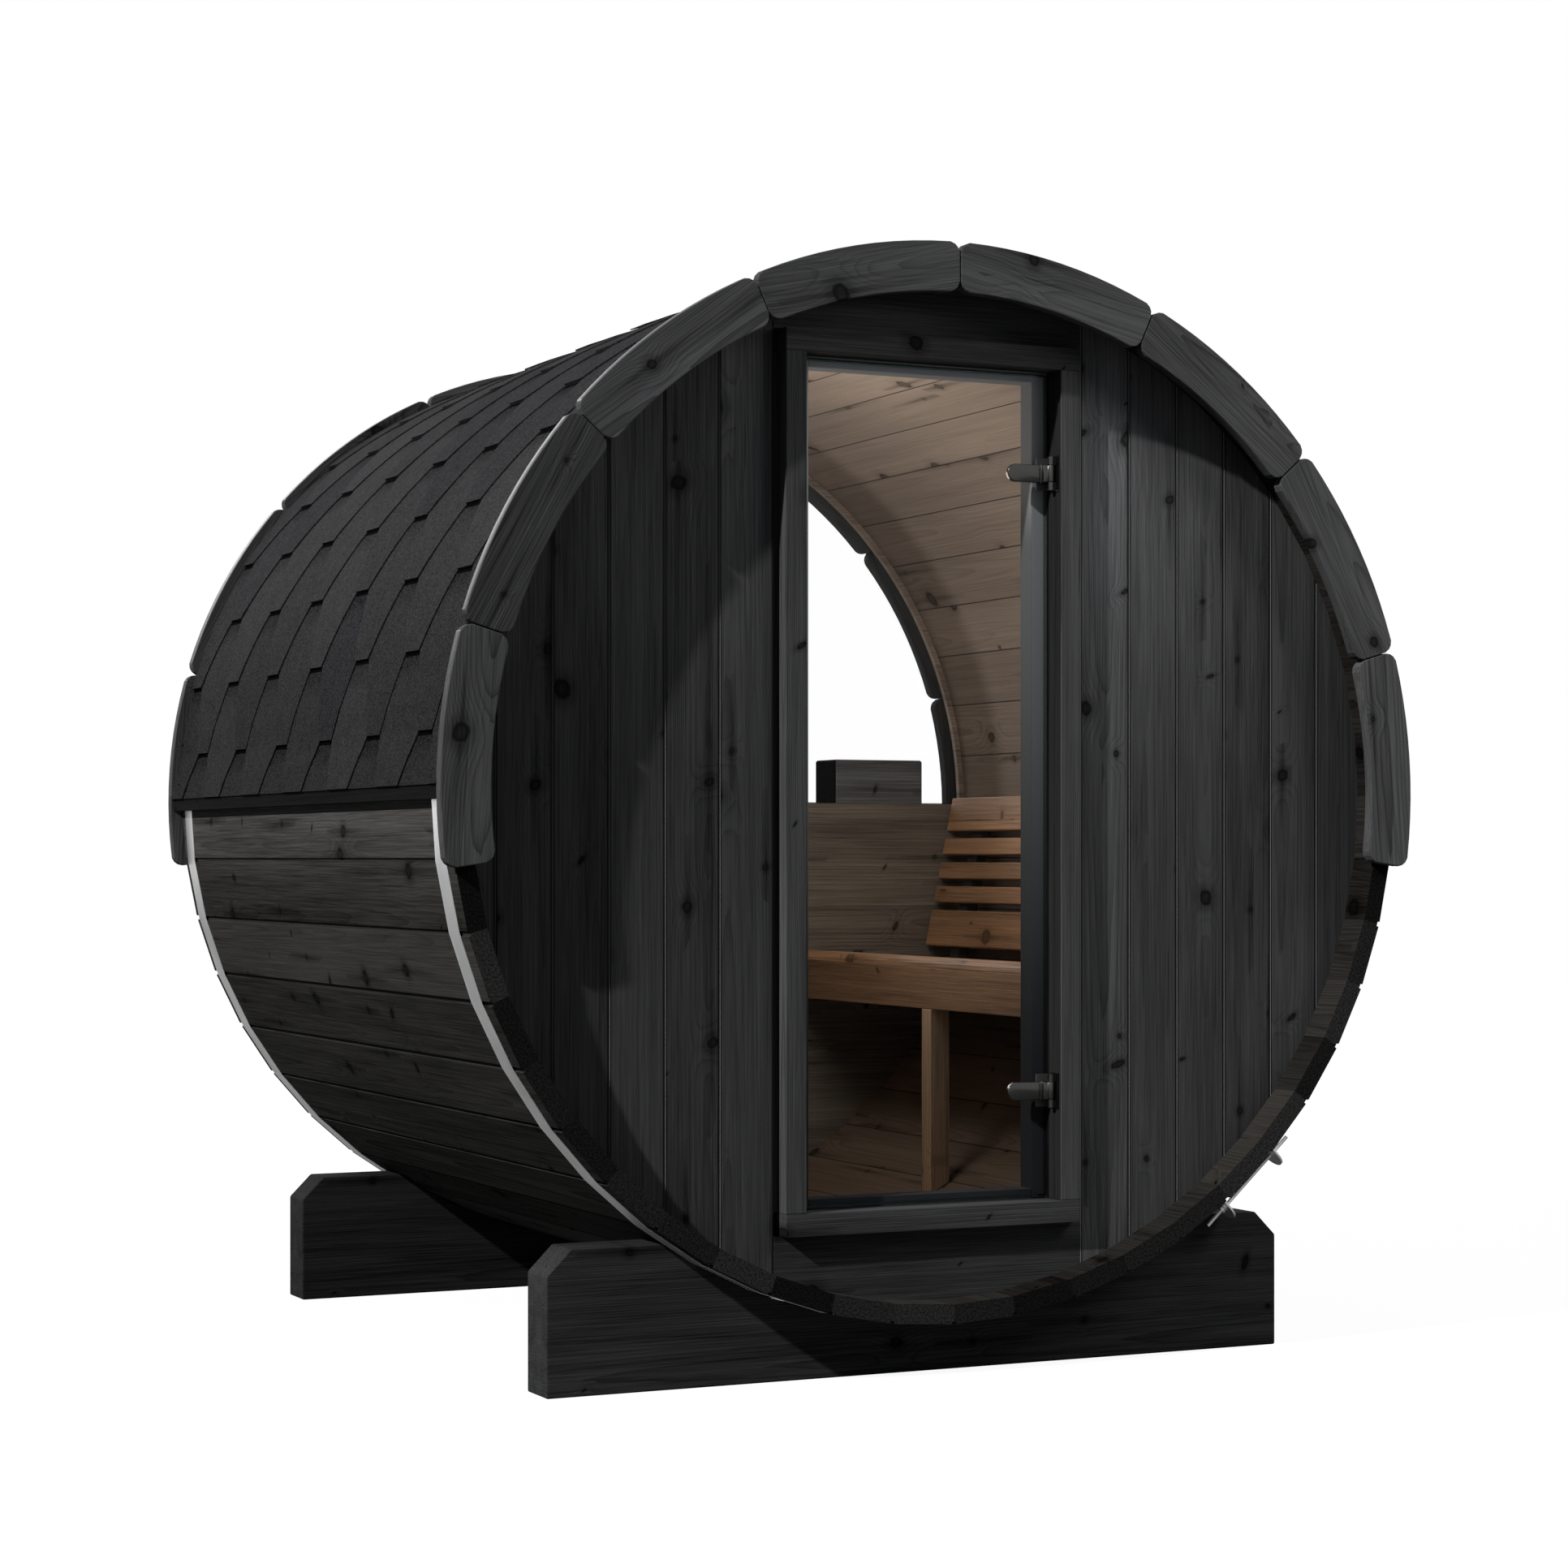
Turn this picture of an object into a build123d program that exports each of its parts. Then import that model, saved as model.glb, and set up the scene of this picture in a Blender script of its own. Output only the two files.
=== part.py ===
from build123d import *
import os
from math import atan2, cos, degrees, floor, hypot, radians, sin, sqrt, tan

os.makedirs("parts", exist_ok=True)

# Barrel sauna on two cradles. The barrel's axis lies along Y and the front faces -Y.
# All sizes are in millimetres. X = 0 and Y = 0 are the middle of the barrel, Z = 0 is the ground.

# Common clearances
seat_gap = 0.2

# Barrel shell of staves, with tongued edges and a shadow slot along each outer joint
barrel_length = 1794.0
barrel_apothem = 1018.0
stave_count = 48
stave_thickness = 38.0
stave_gap = 0.4
slot_width = 5.0
slot_depth = 5.0
tongue_width = 16.0
tongue_rise = 6.0
tongue_draft = 4.0
ground_clearance = 104.0

# End walls, let into a groove that runs round the inside of the staves
front_recess = 70.0
back_recess = 100.0
wall_thickness = 38.0
croze_depth = 10.0
board_pitch = 111.65
back_board_pitch = 108.0
board_gap = 0.4
board_vee = 4.0

# Fascia boards on the stave ends
fascia_count = 8
fascia_span_angle = 196.4
fascia_overhang = 28.0
fascia_width = 96.0
fascia_thickness = 25.0
fascia_gap = 2.0
fascia_corner_cut = 14.6
fascia_corner_ease = 5.4

# Roof covering, kicked out over a batten at the eaves
roof_thickness = 6.0
roof_kick_angle = 12.0
eave_height = 4.0
batten_top = 20.0
batten_height = 42.0

# Steel bands and their tension rods
band_width = 56.0
band_thickness = 1.0
front_band_inset = 69.5
back_band_inset = 49.5
tension_angle = -47.7
lug_spacing = 153.0
lug_thickness = 4.0
rod_height = 39.0
rod_diameter = 8.0
rod_sides = 12
rod_hole_play = 0.5
rod_length = 257.0
nut_width = 13.0
nut_height = 6.5

# Cradles, each shorter than the barrel is wide by a side inset at both ends
cradle_side_inset = 221.0
cradle_height = 273.0
cradle_thickness = 97.0
cradle_inset = 98.0
cradle_chamfer = 48.0

# Doorway and door frame
doorway_boards = 6
doorway_offset = -14.75
frame_side_gap = 14.45
header_height = 108.0
threshold_height = 137.0
trim_width = 43.5
trim_proud = 25.0
flange_setback = 15.0
stop_width = 32.5
stop_rail_height = 20.0
stop_depth = 45.0

# Glass door leaf and hinges
glass_setback = 22.0
glass_thickness = 8.0
glass_play = 5.0
hinge_axis_inset = 10.0
hinge_axis_ahead = 24.0
knuckle_radius = 6.5
knuckle_length = 34.0
knuckle_end = 15.5
knuckle_gap = 0.3
pin_radius = 3.2
pin_play = 0.1
clamp_length = 82.0
clamp_height = 35.0
clamp_thickness = 10.0
arm_width = 16.0
pad_width = 26.0
pad_height = 64.0
pad_thickness = 3.0
bracket_height = 70.0
bracket_depth = 30.0
bracket_thickness = 2.0
hinge_below_top = 245.5
hinge_above_bottom = 257.5

# Half-moon window in the back, on a deep sill above the back wall
sill_top = 5.0
sill_height = 36.0
sill_inset = 12.0
pane_inset = 18.0
pane_thickness = 8.0
moon_bead = 14.0
block_width = 242.0
block_pane_gap = 1.0
block_height = 107.0
block_side_gap = 171.0
block_edge = 4.0

# Benches along both sides
bench_reach = 540.0
bench_height = 606.0
apron_height = 91.0
apron_thickness = 28.0
slat_thickness = 28.0
seat_slats = 5
seat_slat_gap = 10.0
seat_side_gap = 15.0
bench_end_gap = 12.0
bearer_width = 45.0
bearer_height = 45.0
post_width = 45.0
post_from_middle = 44.5
bearer_end_inset = 120.0

# Leaning backrests above the benches
backrest_setback = 68.5
backrest_lift = 30.5
backrest_lean = 11.9
backrest_bottom_slat = 89.5
backrest_thin_slat = 41.0
backrest_thin_slats = 3
backrest_top_slat = 83.5
backrest_gap = 18.9
backrest_thickness = 20.0
upright_depth = 28.0
upright_width = 45.0

# Derived places
half_length = barrel_length / 2
half_pitch = 180.0 / stave_count
pitch_angle = 360.0 / stave_count
axis_height = barrel_apothem + ground_clearance
inner_apothem = barrel_apothem - stave_thickness
inside_radius = inner_apothem - seat_gap
wall_radius = inner_apothem + croze_depth - seat_gap
front_wall_face = -half_length + front_recess
front_wall_back = front_wall_face + wall_thickness
back_wall_face = half_length - back_recess
back_wall_front = back_wall_face - wall_thickness
fascia_radius = barrel_apothem + fascia_overhang
fascia_inner_radius = fascia_radius - fascia_width
fascia_step = fascia_span_angle / fascia_count
first_fascia = 90.0 - (fascia_span_angle - fascia_step) / 2
doorway_width = doorway_boards * board_pitch
doorway_left = doorway_offset - doorway_width / 2
doorway_right = doorway_offset + doorway_width / 2
frame_width = doorway_width - 2 * frame_side_gap
frame_left = doorway_offset - frame_width / 2
frame_right = doorway_offset + frame_width / 2
frame_top = inner_apothem - header_height
frame_bottom = -inner_apothem + threshold_height
clear_left = frame_left + trim_width
clear_right = frame_right - trim_width
clear_top = frame_top - trim_width
clear_bottom = frame_bottom + trim_width
glass_front = front_wall_face + glass_setback
glass_back = glass_front + glass_thickness
stop_front = glass_back + glass_play
stop_back = stop_front + stop_depth
trim_front = front_wall_face - trim_proud
hinge_x = clear_right - hinge_axis_inset
hinge_y = glass_front - hinge_axis_ahead
hinge_heights = {"upper": frame_top - hinge_below_top, "lower": frame_bottom + hinge_above_bottom}
pane_back = half_length - pane_inset
pane_front = pane_back - pane_thickness


def half_width(radius):
    return radius * tan(radians(half_pitch)) - stave_gap / 2


slot_floor = barrel_apothem - slot_depth
slot_side = half_width(barrel_apothem) - slot_width
stave_corner = hypot(barrel_apothem, slot_side)
band_inner = barrel_apothem + seat_gap
band_outer = band_inner + band_thickness
roof_inner = band_outer / cos(radians(half_pitch)) + seat_gap
roof_outer = roof_inner + roof_thickness


def across(y, angle=0.0):
    # Plane across the barrel at depth y, facing the front, its x axis pointing outwards at the angle
    out = (cos(radians(angle)), 0, sin(radians(angle)))
    return Plane(origin=(0, y, axis_height), x_dir=out, z_dir=(0, -1, 0))


def level(z):
    # Horizontal plane at a height above the barrel's axis
    return Plane.XY.offset(axis_height + z)


def save(builder, name):
    builder.part.label = name
    export_step(builder.part, f"parts/{name}.step")


# Section of one stave: a tongue along its upper edge, a groove along the lower one, rebates for the slots
tilt = radians(half_pitch)
tongue_middle = (inner_apothem + slot_floor) / 2
tongue_low = tongue_middle - tongue_width / 2
tongue_high = tongue_middle + tongue_width / 2


def edge_point(radius, side, rise=0.0):
    # A point on the upper (1) or lower (-1) edge of the stave, raised square to that edge
    return (radius - side * rise * sin(tilt), side * half_width(radius) + rise * cos(tilt))


with BuildSketch() as stave_section:
    with BuildLine():
        Polyline(
            edge_point(inner_apothem, 1),
            edge_point(tongue_low, 1),
            edge_point(tongue_low + tongue_draft, 1, tongue_rise),
            edge_point(tongue_high - tongue_draft, 1, tongue_rise),
            edge_point(tongue_high, 1),
            edge_point(slot_floor, 1),
            (slot_floor, slot_side),
            (barrel_apothem, slot_side),
            (barrel_apothem, -slot_side),
            (slot_floor, -slot_side),
            edge_point(slot_floor, -1),
            edge_point(tongue_high, -1),
            edge_point(tongue_high - tongue_draft, -1, tongue_rise),
            edge_point(tongue_low + tongue_draft, -1, tongue_rise),
            edge_point(tongue_low, -1),
            edge_point(inner_apothem, -1),
            close=True,
        )
    make_face()


def staves(name, first_angle, count):
    # Neighbouring staves, grooved inside for the front wall and, below the window, for the back wall
    with BuildPart() as segment:
        for index in range(count):
            angle = first_angle + half_pitch + index * pitch_angle
            with BuildSketch(across(half_length, angle)):
                add(stave_section.sketch)
            extrude(amount=barrel_length)
            groove_ends = [front_wall_back]
            if sin(radians(angle)) < 0:
                groove_ends.append(back_wall_face)
            for groove_end in groove_ends:
                with BuildSketch(across(groove_end + seat_gap, angle)):
                    with Locations((inner_apothem, 0)):
                        Rectangle(2 * croze_depth, 2 * half_width(barrel_apothem))
                extrude(amount=wall_thickness + 2 * seat_gap, mode=Mode.SUBTRACT)
    save(segment, name)


segment_names = (
    "staves_right_upper",
    "staves_top_right",
    "staves_top_left",
    "staves_left_upper",
    "staves_left_lower",
    "staves_bottom_left",
    "staves_bottom_right",
    "staves_right_lower",
)
segment_staves = stave_count // len(segment_names)
for place, segment_name in enumerate(segment_names):
    staves(segment_name, place * segment_staves * pitch_angle, segment_staves)


def fascia_corner_point(radius, turn):
    # A point on the radial joint line, held back by half of the gap
    gap = fascia_gap / 2
    return (radius * cos(turn) + gap * sin(abs(turn)), radius * sin(turn) - gap * (1 if turn > 0 else -1))


def fascia(name, y):
    side = radians(fascia_step / 2)
    outer_low = fascia_corner_point(fascia_radius, -side)
    outer_high = fascia_corner_point(fascia_radius, side)
    inner_low = fascia_corner_point(fascia_inner_radius, -side)
    inner_high = fascia_corner_point(fascia_inner_radius, side)
    with BuildPart() as ring:
        for index in range(fascia_count):
            with BuildSketch(across(y, first_fascia + index * fascia_step)) as outline:
                with BuildLine():
                    ThreePointArc(outer_low, (fascia_radius, 0), outer_high)
                    Line(outer_high, inner_high)
                    ThreePointArc(inner_high, (fascia_inner_radius, 0), inner_low)
                    Line(inner_low, outer_low)
                make_face()
                chamfer(outline.vertices(), fascia_corner_cut)
                chamfer(outline.vertices(), fascia_corner_ease)
            extrude(amount=fascia_thickness)
    save(ring, name)


fascia("front_fascia", -half_length - seat_gap)
fascia("back_fascia", half_length + seat_gap + fascia_thickness)


# Roof covering: an arc from the ridge, then a straight kick down to the eave
kick = radians(roof_kick_angle)
kick_down = (sin(kick), -cos(kick))


def kick_point(radius, height):
    start = (radius * cos(kick), radius * sin(kick))
    run = (start[1] - height) / -kick_down[1]
    return (start[0] + run * kick_down[0], height)


def mirrored(builder, name):
    with BuildPart() as twin:
        mirror(builder.part, about=Plane.YZ)
    save(twin, name)


half_turn = radians((90.0 + roof_kick_angle) / 2)
ridge_play = seat_gap / 2
with BuildPart() as roof_right:
    with BuildSketch(across(half_length)):
        with BuildLine():
            ThreePointArc(
                (ridge_play, sqrt(roof_outer**2 - ridge_play**2)),
                (roof_outer * cos(half_turn), roof_outer * sin(half_turn)),
                (roof_outer * cos(kick), roof_outer * sin(kick)),
            )
            Polyline(
                (roof_outer * cos(kick), roof_outer * sin(kick)),
                kick_point(roof_outer, eave_height),
                kick_point(roof_inner, eave_height),
                (roof_inner * cos(kick), roof_inner * sin(kick)),
            )
            ThreePointArc(
                (roof_inner * cos(kick), roof_inner * sin(kick)),
                (roof_inner * cos(half_turn), roof_inner * sin(half_turn)),
                (ridge_play, sqrt(roof_inner**2 - ridge_play**2)),
            )
            Line(
                (ridge_play, sqrt(roof_inner**2 - ridge_play**2)),
                (ridge_play, sqrt(roof_outer**2 - ridge_play**2)),
            )
        make_face()
    extrude(amount=barrel_length)
save(roof_right, "roof_right")
mirrored(roof_right, "roof_left")

batten_inner = roof_inner
batten_outer = kick_point(roof_inner, batten_top)[0] - seat_gap
with BuildPart() as eave_batten_right:
    with BuildSketch(across(half_length)):
        with Locations(((batten_inner + batten_outer) / 2, batten_top - batten_height / 2)):
            Rectangle(batten_outer - batten_inner, batten_height)
    extrude(amount=barrel_length)
save(eave_batten_right, "eave_batten_right")
mirrored(eave_batten_right, "eave_batten_left")


# Steel bands: a strap bent over the stave edges with two upturned lugs, drawn together by a threaded rod
rod_radius = rod_diameter / 2
rod_line = band_outer + rod_height
lug_half = lug_spacing / 2
band_open = degrees(atan2(lug_half, band_inner))


def lug_foot(side):
    # Distance out from the axis to the middle of the strap where the lug stands on it
    stave_angle = half_pitch + pitch_angle * floor((tension_angle + side * band_open) / pitch_angle)
    turn = radians(stave_angle - tension_angle)
    return (band_inner + band_thickness / 2 - side * lug_half * sin(turn)) / cos(turn)


def tension_plane(y, along):
    # Plane square to the rod, a distance along it from its middle: x points outwards, y along the barrel
    turn = radians(tension_angle)
    out = Vector(cos(turn), 0, sin(turn))
    tangent = Vector(-sin(turn), 0, cos(turn))
    origin = Vector(0, y, axis_height) + tangent * along
    return Plane(origin=origin, x_dir=out, z_dir=tangent)


def band(name, y):
    opening = 2 * band_outer * tan(radians(band_open))
    with BuildPart() as strap:
        with BuildSketch(across(y + band_width / 2, -90.0)):
            RegularPolygon(band_outer, stave_count, major_radius=False)
            RegularPolygon(band_inner, stave_count, major_radius=False, mode=Mode.SUBTRACT)
        extrude(amount=band_width)
        with BuildSketch(across(y + band_width / 2, tension_angle)):
            with BuildLine():
                Polyline((0, 0), (2 * band_outer, opening), (2 * band_outer, -opening), close=True)
            make_face()
        extrude(amount=band_width, mode=Mode.SUBTRACT)
        for side in (-1, 1):
            foot = lug_foot(side)
            with BuildSketch(tension_plane(y, side * lug_half - lug_thickness / 2)):
                with Locations(((foot + rod_line) / 2, 0)):
                    Rectangle(rod_line - foot, band_width)
                with Locations((rod_line, 0)):
                    Circle(band_width / 2)
                    RegularPolygon(rod_radius + rod_hole_play, rod_sides, mode=Mode.SUBTRACT)
            extrude(amount=lug_thickness)
    save(strap, name)


band_places = (-half_length + front_band_inset, half_length - back_band_inset)
band("front_band", band_places[0])
band("back_band", band_places[1])

with BuildPart() as band_rods:
    for y in band_places:
        with BuildSketch(tension_plane(y, -rod_length / 2)):
            with Locations((rod_line, 0)):
                RegularPolygon(rod_radius, rod_sides)
        extrude(amount=rod_length)
        outside = lug_half + lug_thickness / 2 + seat_gap
        for start in (outside, -outside - nut_height):
            with BuildSketch(tension_plane(y, start)):
                with Locations((rod_line, 0)):
                    RegularPolygon(nut_width / 2, 6, major_radius=False)
            extrude(amount=nut_height)
save(band_rods, "band_rods")


# Cradles: heavy planks on edge, hollowed to the barrel and chamfered at the upper corners
cradle_length = 2 * (barrel_apothem - cradle_side_inset)


def cradle(name, front):
    with BuildPart() as plank:
        with BuildSketch(across(front + cradle_thickness)) as outline:
            with Locations((0, cradle_height / 2 - axis_height)):
                Rectangle(cradle_length, cradle_height)
            upper = outline.vertices().group_by(Axis.Y)[-1]
            chamfer(upper, cradle_chamfer)
            Circle(stave_corner + seat_gap, mode=Mode.SUBTRACT)
        extrude(amount=cradle_thickness)
    save(plank, name)


cradle("front_cradle", -half_length + cradle_inset)
cradle("back_cradle", half_length - cradle_inset - cradle_thickness)


# Front wall: vertical boards beside the doorway, one panel above it and one below
def joint_outline(place, face, inward):
    # Section of a board joint: a thin gap through the wall, opening to a V at the outer face
    root = face + inward * board_vee / 2
    back = face + inward * wall_thickness
    return (
        (place - board_vee / 2, face),
        (place - board_gap / 2, root),
        (place - board_gap / 2, back),
        (place + board_gap / 2, back),
        (place + board_gap / 2, root),
        (place + board_vee / 2, face),
    )


def wall_side(name, edge, side):
    with BuildPart() as wall:
        with BuildSketch(across(front_wall_back)):
            Circle(wall_radius)
            with Locations((edge - side * wall_radius, 0)):
                Rectangle(2 * wall_radius, 2 * wall_radius, mode=Mode.SUBTRACT)
        extrude(amount=wall_thickness)
        joint = edge + side * board_pitch
        while abs(joint) < wall_radius - board_vee:
            with BuildSketch(level(-wall_radius)):
                with BuildLine():
                    Polyline(*joint_outline(joint, front_wall_face, 1), close=True)
                make_face()
            extrude(amount=2 * wall_radius, mode=Mode.SUBTRACT)
            joint += side * board_pitch
    save(wall, name)


wall_side("front_wall_left", doorway_left, -1)
wall_side("front_wall_right", doorway_right, 1)


def wall_panel(name, edge, side):
    inset = board_gap / 2
    with BuildPart() as panel:
        with BuildSketch(across(front_wall_back)):
            with Locations((doorway_offset, edge + side * wall_radius / 2)):
                Rectangle(doorway_width - 2 * inset, wall_radius)
            Circle(wall_radius, mode=Mode.INTERSECT)
        extrude(amount=wall_thickness)
    save(panel, name)


wall_panel("front_wall_header", frame_top + seat_gap, 1)
wall_panel("front_wall_threshold", frame_bottom - seat_gap, -1)


# Door frame: each post and rail is a trim in front, a flange in the doorway and a stop behind the glass
def frame_post(name, outer, side):
    trim_inner = outer + side * trim_width
    flange_outer = outer - side * (frame_side_gap - seat_gap)
    stop_inner = trim_inner + side * stop_width
    with BuildPart() as post:
        with BuildSketch(level(clear_bottom + seat_gap)):
            with BuildLine():
                Polyline(
                    (outer, trim_front),
                    (trim_inner, trim_front),
                    (trim_inner, stop_front),
                    (stop_inner, stop_front),
                    (stop_inner, stop_back),
                    (outer, stop_back),
                    (outer, front_wall_back),
                    (flange_outer, front_wall_back),
                    (flange_outer, front_wall_face + flange_setback),
                    (outer, front_wall_face + flange_setback),
                    close=True,
                )
            make_face()
        extrude(amount=clear_top - clear_bottom - 2 * seat_gap)
    save(post, name)


frame_post("door_frame_left", frame_left, 1)
frame_post("door_frame_right", frame_right, -1)


def frame_rail(name, outer, side):
    trim_inner = outer + side * trim_width
    stop_length = clear_right - clear_left - 2 * stop_width - 2 * seat_gap
    with BuildPart() as rail:
        with BuildSketch(Plane.YZ.offset(frame_left)):
            with Locations(((trim_front + stop_back) / 2, axis_height + (outer + trim_inner) / 2)):
                Rectangle(stop_back - trim_front, trim_width)
        extrude(amount=frame_width)
        with BuildSketch(Plane.YZ.offset(doorway_offset - stop_length / 2)):
            stop_middle = axis_height + trim_inner + side * stop_rail_height / 2
            with Locations(((stop_front + stop_back) / 2, stop_middle)):
                Rectangle(stop_depth, stop_rail_height)
        extrude(amount=stop_length)
    save(rail, name)


frame_rail("door_frame_head", frame_top, -1)
frame_rail("door_frame_sill", frame_bottom, 1)


# Glass leaf
with BuildPart() as door_glass:
    with BuildSketch(across(glass_back)):
        with Locations(((clear_left + clear_right) / 2, (clear_bottom + clear_top) / 2)):
            Rectangle(clear_right - clear_left - 2 * glass_play, clear_top - clear_bottom - 2 * glass_play)
    extrude(amount=glass_thickness)
save(door_glass, "door_glass")


# Hinges: a clamp on the glass with the middle knuckle, and a bracket on the frame with two knuckles and a pin
clamp_right = hinge_x - arm_width / 2
pad_front = glass_front - seat_gap - pad_thickness
clamp_back = pad_front - seat_gap


def hinge_leaf(name, height):
    with BuildPart() as leaf:
        with BuildSketch(across(clamp_back)):
            with Locations((clamp_right - clamp_length / 2, height)):
                SlotOverall(clamp_length, clamp_height)
            with Locations((clamp_right - clamp_height / 4, height)):
                Rectangle(clamp_height / 2, clamp_height)
        extrude(amount=clamp_thickness)
        with BuildSketch(level(height - knuckle_length / 2)):
            with Locations(((clamp_right - arm_width / 2 + hinge_x) / 2, (clamp_back + hinge_y) / 2)):
                Rectangle(hinge_x - clamp_right + arm_width / 2, clamp_back - hinge_y)
            with Locations((hinge_x, hinge_y)):
                Circle(knuckle_radius)
        extrude(amount=knuckle_length)
        with BuildSketch(level(height - knuckle_length)):
            with Locations((hinge_x, hinge_y)):
                Circle(pin_radius + pin_play)
        extrude(amount=2 * knuckle_length, mode=Mode.SUBTRACT)
    save(leaf, name)


def hinge_bracket(name, height):
    plate_face = clear_right - seat_gap
    pin_length = knuckle_length + 2 * knuckle_gap + 2 * knuckle_end
    with BuildPart() as bracket:
        with BuildSketch(level(height - bracket_height / 2)):
            with Locations((plate_face - bracket_thickness / 2, hinge_y)):
                Rectangle(bracket_thickness, bracket_depth)
        extrude(amount=bracket_height)
        for low in (-pin_length / 2, knuckle_length / 2 + knuckle_gap):
            with BuildSketch(level(height + low)):
                with Locations((hinge_x, hinge_y)):
                    Circle(knuckle_radius)
                with Locations(((hinge_x + plate_face - bracket_thickness) / 2, hinge_y)):
                    Rectangle(plate_face - bracket_thickness - hinge_x, knuckle_radius)
            extrude(amount=knuckle_end)
        with BuildSketch(level(height - pin_length / 2)):
            with Locations((hinge_x, hinge_y)):
                Circle(pin_radius)
        extrude(amount=pin_length)
    save(bracket, name)


for place, height in hinge_heights.items():
    hinge_leaf(f"{place}_hinge_leaf", height)
    hinge_bracket(f"{place}_hinge_bracket", height)

with BuildPart() as door_hinge_pads:
    pad_right = clear_right - glass_play
    for height in hinge_heights.values():
        with BuildSketch(across(glass_front - seat_gap)):
            with Locations((pad_right - pad_width / 2, height)):
                Rectangle(pad_width, pad_height)
        extrude(amount=pad_thickness)
save(door_hinge_pads, "door_hinge_pads")


# Back wall of horizontal boards under the half-moon window
sill_floor = sill_top - sill_height
with BuildPart() as back_wall:
    with BuildSketch(across(back_wall_face)):
        with Locations((0, sill_floor - seat_gap - wall_radius)):
            Rectangle(2 * wall_radius, 2 * wall_radius)
        Circle(wall_radius, mode=Mode.INTERSECT)
    extrude(amount=wall_thickness)
    joint = sill_floor - back_board_pitch
    while joint > -wall_radius + board_vee:
        with BuildSketch(Plane.YZ.offset(-wall_radius)):
            with BuildLine():
                outline = joint_outline(axis_height + joint, back_wall_face, -1)
                Polyline(*[(depth, height) for height, depth in outline], close=True)
            make_face()
        extrude(amount=2 * wall_radius, mode=Mode.SUBTRACT)
        joint -= back_board_pitch
save(back_wall, "back_wall")

sill_back = half_length - sill_inset
with BuildPart() as window_sill:
    with BuildSketch(across(sill_back)):
        with Locations((0, sill_top - sill_height / 2)):
            Rectangle(2 * inside_radius, sill_height)
        Circle(inside_radius, mode=Mode.INTERSECT)
    extrude(amount=sill_back - back_wall_front)
save(window_sill, "window_sill")


def half_moon(radius, bottom):
    with Locations((0, bottom + radius)):
        Rectangle(2 * radius, 2 * radius)
    Circle(radius, mode=Mode.INTERSECT)


with BuildPart() as back_window:
    with BuildSketch(across(pane_back)):
        half_moon(inside_radius, sill_top + seat_gap)
    extrude(amount=pane_thickness)
save(back_window, "back_window")

with BuildPart() as window_bead:
    with BuildSketch(across(pane_front - seat_gap)):
        half_moon(inside_radius, sill_top + seat_gap)
        Circle(inside_radius - moon_bead, mode=Mode.SUBTRACT)
    extrude(amount=moon_bead)
save(window_bead, "window_bead")

block_middle = inside_radius - block_side_gap - block_width / 2
block_depth = pane_front - block_pane_gap - back_wall_front
with BuildPart() as sill_block:
    with BuildSketch(level(sill_top + seat_gap)):
        with Locations((block_middle, back_wall_front + block_depth / 2)):
            Rectangle(block_width, block_depth)
    extrude(amount=block_height)
    chamfer(sill_block.edges().filter_by(Axis.Z) + sill_block.faces().sort_by(Axis.Z)[-1].edges(), block_edge)
save(sill_block, "sill_block")


# Benches: a front board, slats behind it on bearers and a post down to the staves, right one mirrored
bench_front = inner_apothem - bench_reach
bench_top = -inner_apothem + bench_height
bench_front_end = stop_back + bench_end_gap
bench_back_end = back_wall_front - bench_end_gap
bench_length = bench_back_end - bench_front_end
slat_floor = bench_top - slat_thickness
apron_floor = bench_top - apron_height
bearer_floor = slat_floor - seat_gap - bearer_height
bearer_places = (bench_front_end + bearer_end_inset, post_from_middle, bench_back_end - bearer_end_inset)
apron_back = bench_front + apron_thickness + seat_gap
seat_back = sqrt(inside_radius**2 - slat_floor**2) - seat_side_gap
seat_slat_pitch = (seat_back - apron_back + seat_slat_gap) / seat_slats
seat_slat_width = seat_slat_pitch - seat_slat_gap

with BuildPart() as right_bench_seat:
    for index in range(seat_slats):
        middle = apron_back + seat_slat_width / 2 + index * seat_slat_pitch
        with BuildSketch(across(bench_back_end)):
            with Locations((middle, bench_top - slat_thickness / 2)):
                Rectangle(seat_slat_width, slat_thickness)
        extrude(amount=bench_length)
save(right_bench_seat, "right_bench_seat")
mirrored(right_bench_seat, "left_bench_seat")

with BuildPart() as right_bench_frame:
    with BuildSketch(across(bench_back_end)):
        with Locations((bench_front + apron_thickness / 2, bench_top - apron_height / 2)):
            Rectangle(apron_thickness, apron_height)
    extrude(amount=bench_length)
    for middle in bearer_places:
        with BuildSketch(across(middle + bearer_width / 2)):
            with Locations((apron_back + inside_radius / 2, bearer_floor + bearer_height / 2)):
                Rectangle(inside_radius, bearer_height)
            Circle(inside_radius, mode=Mode.INTERSECT)
        extrude(amount=bearer_width)
    with BuildSketch(across(post_from_middle + post_width / 2)):
        with Locations((bench_front + post_width / 2, apron_floor - seat_gap - inside_radius / 2)):
            Rectangle(post_width, inside_radius)
        Circle(inside_radius, mode=Mode.INTERSECT)
    extrude(amount=post_width)
save(right_bench_frame, "right_bench_frame")
mirrored(right_bench_frame, "left_bench_frame")


# Backrests: slats on leaning uprights that stand on the rear seat slat
lean = radians(backrest_lean)
backrest_foot = seat_back - backrest_setback
backrest_bottom = bench_top + backrest_lift
slat_heights = [backrest_bottom_slat] + [backrest_thin_slat] * backrest_thin_slats + [backrest_top_slat]
backrest_height = sum(slat_heights) + backrest_gap * (len(slat_heights) - 1)


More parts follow.
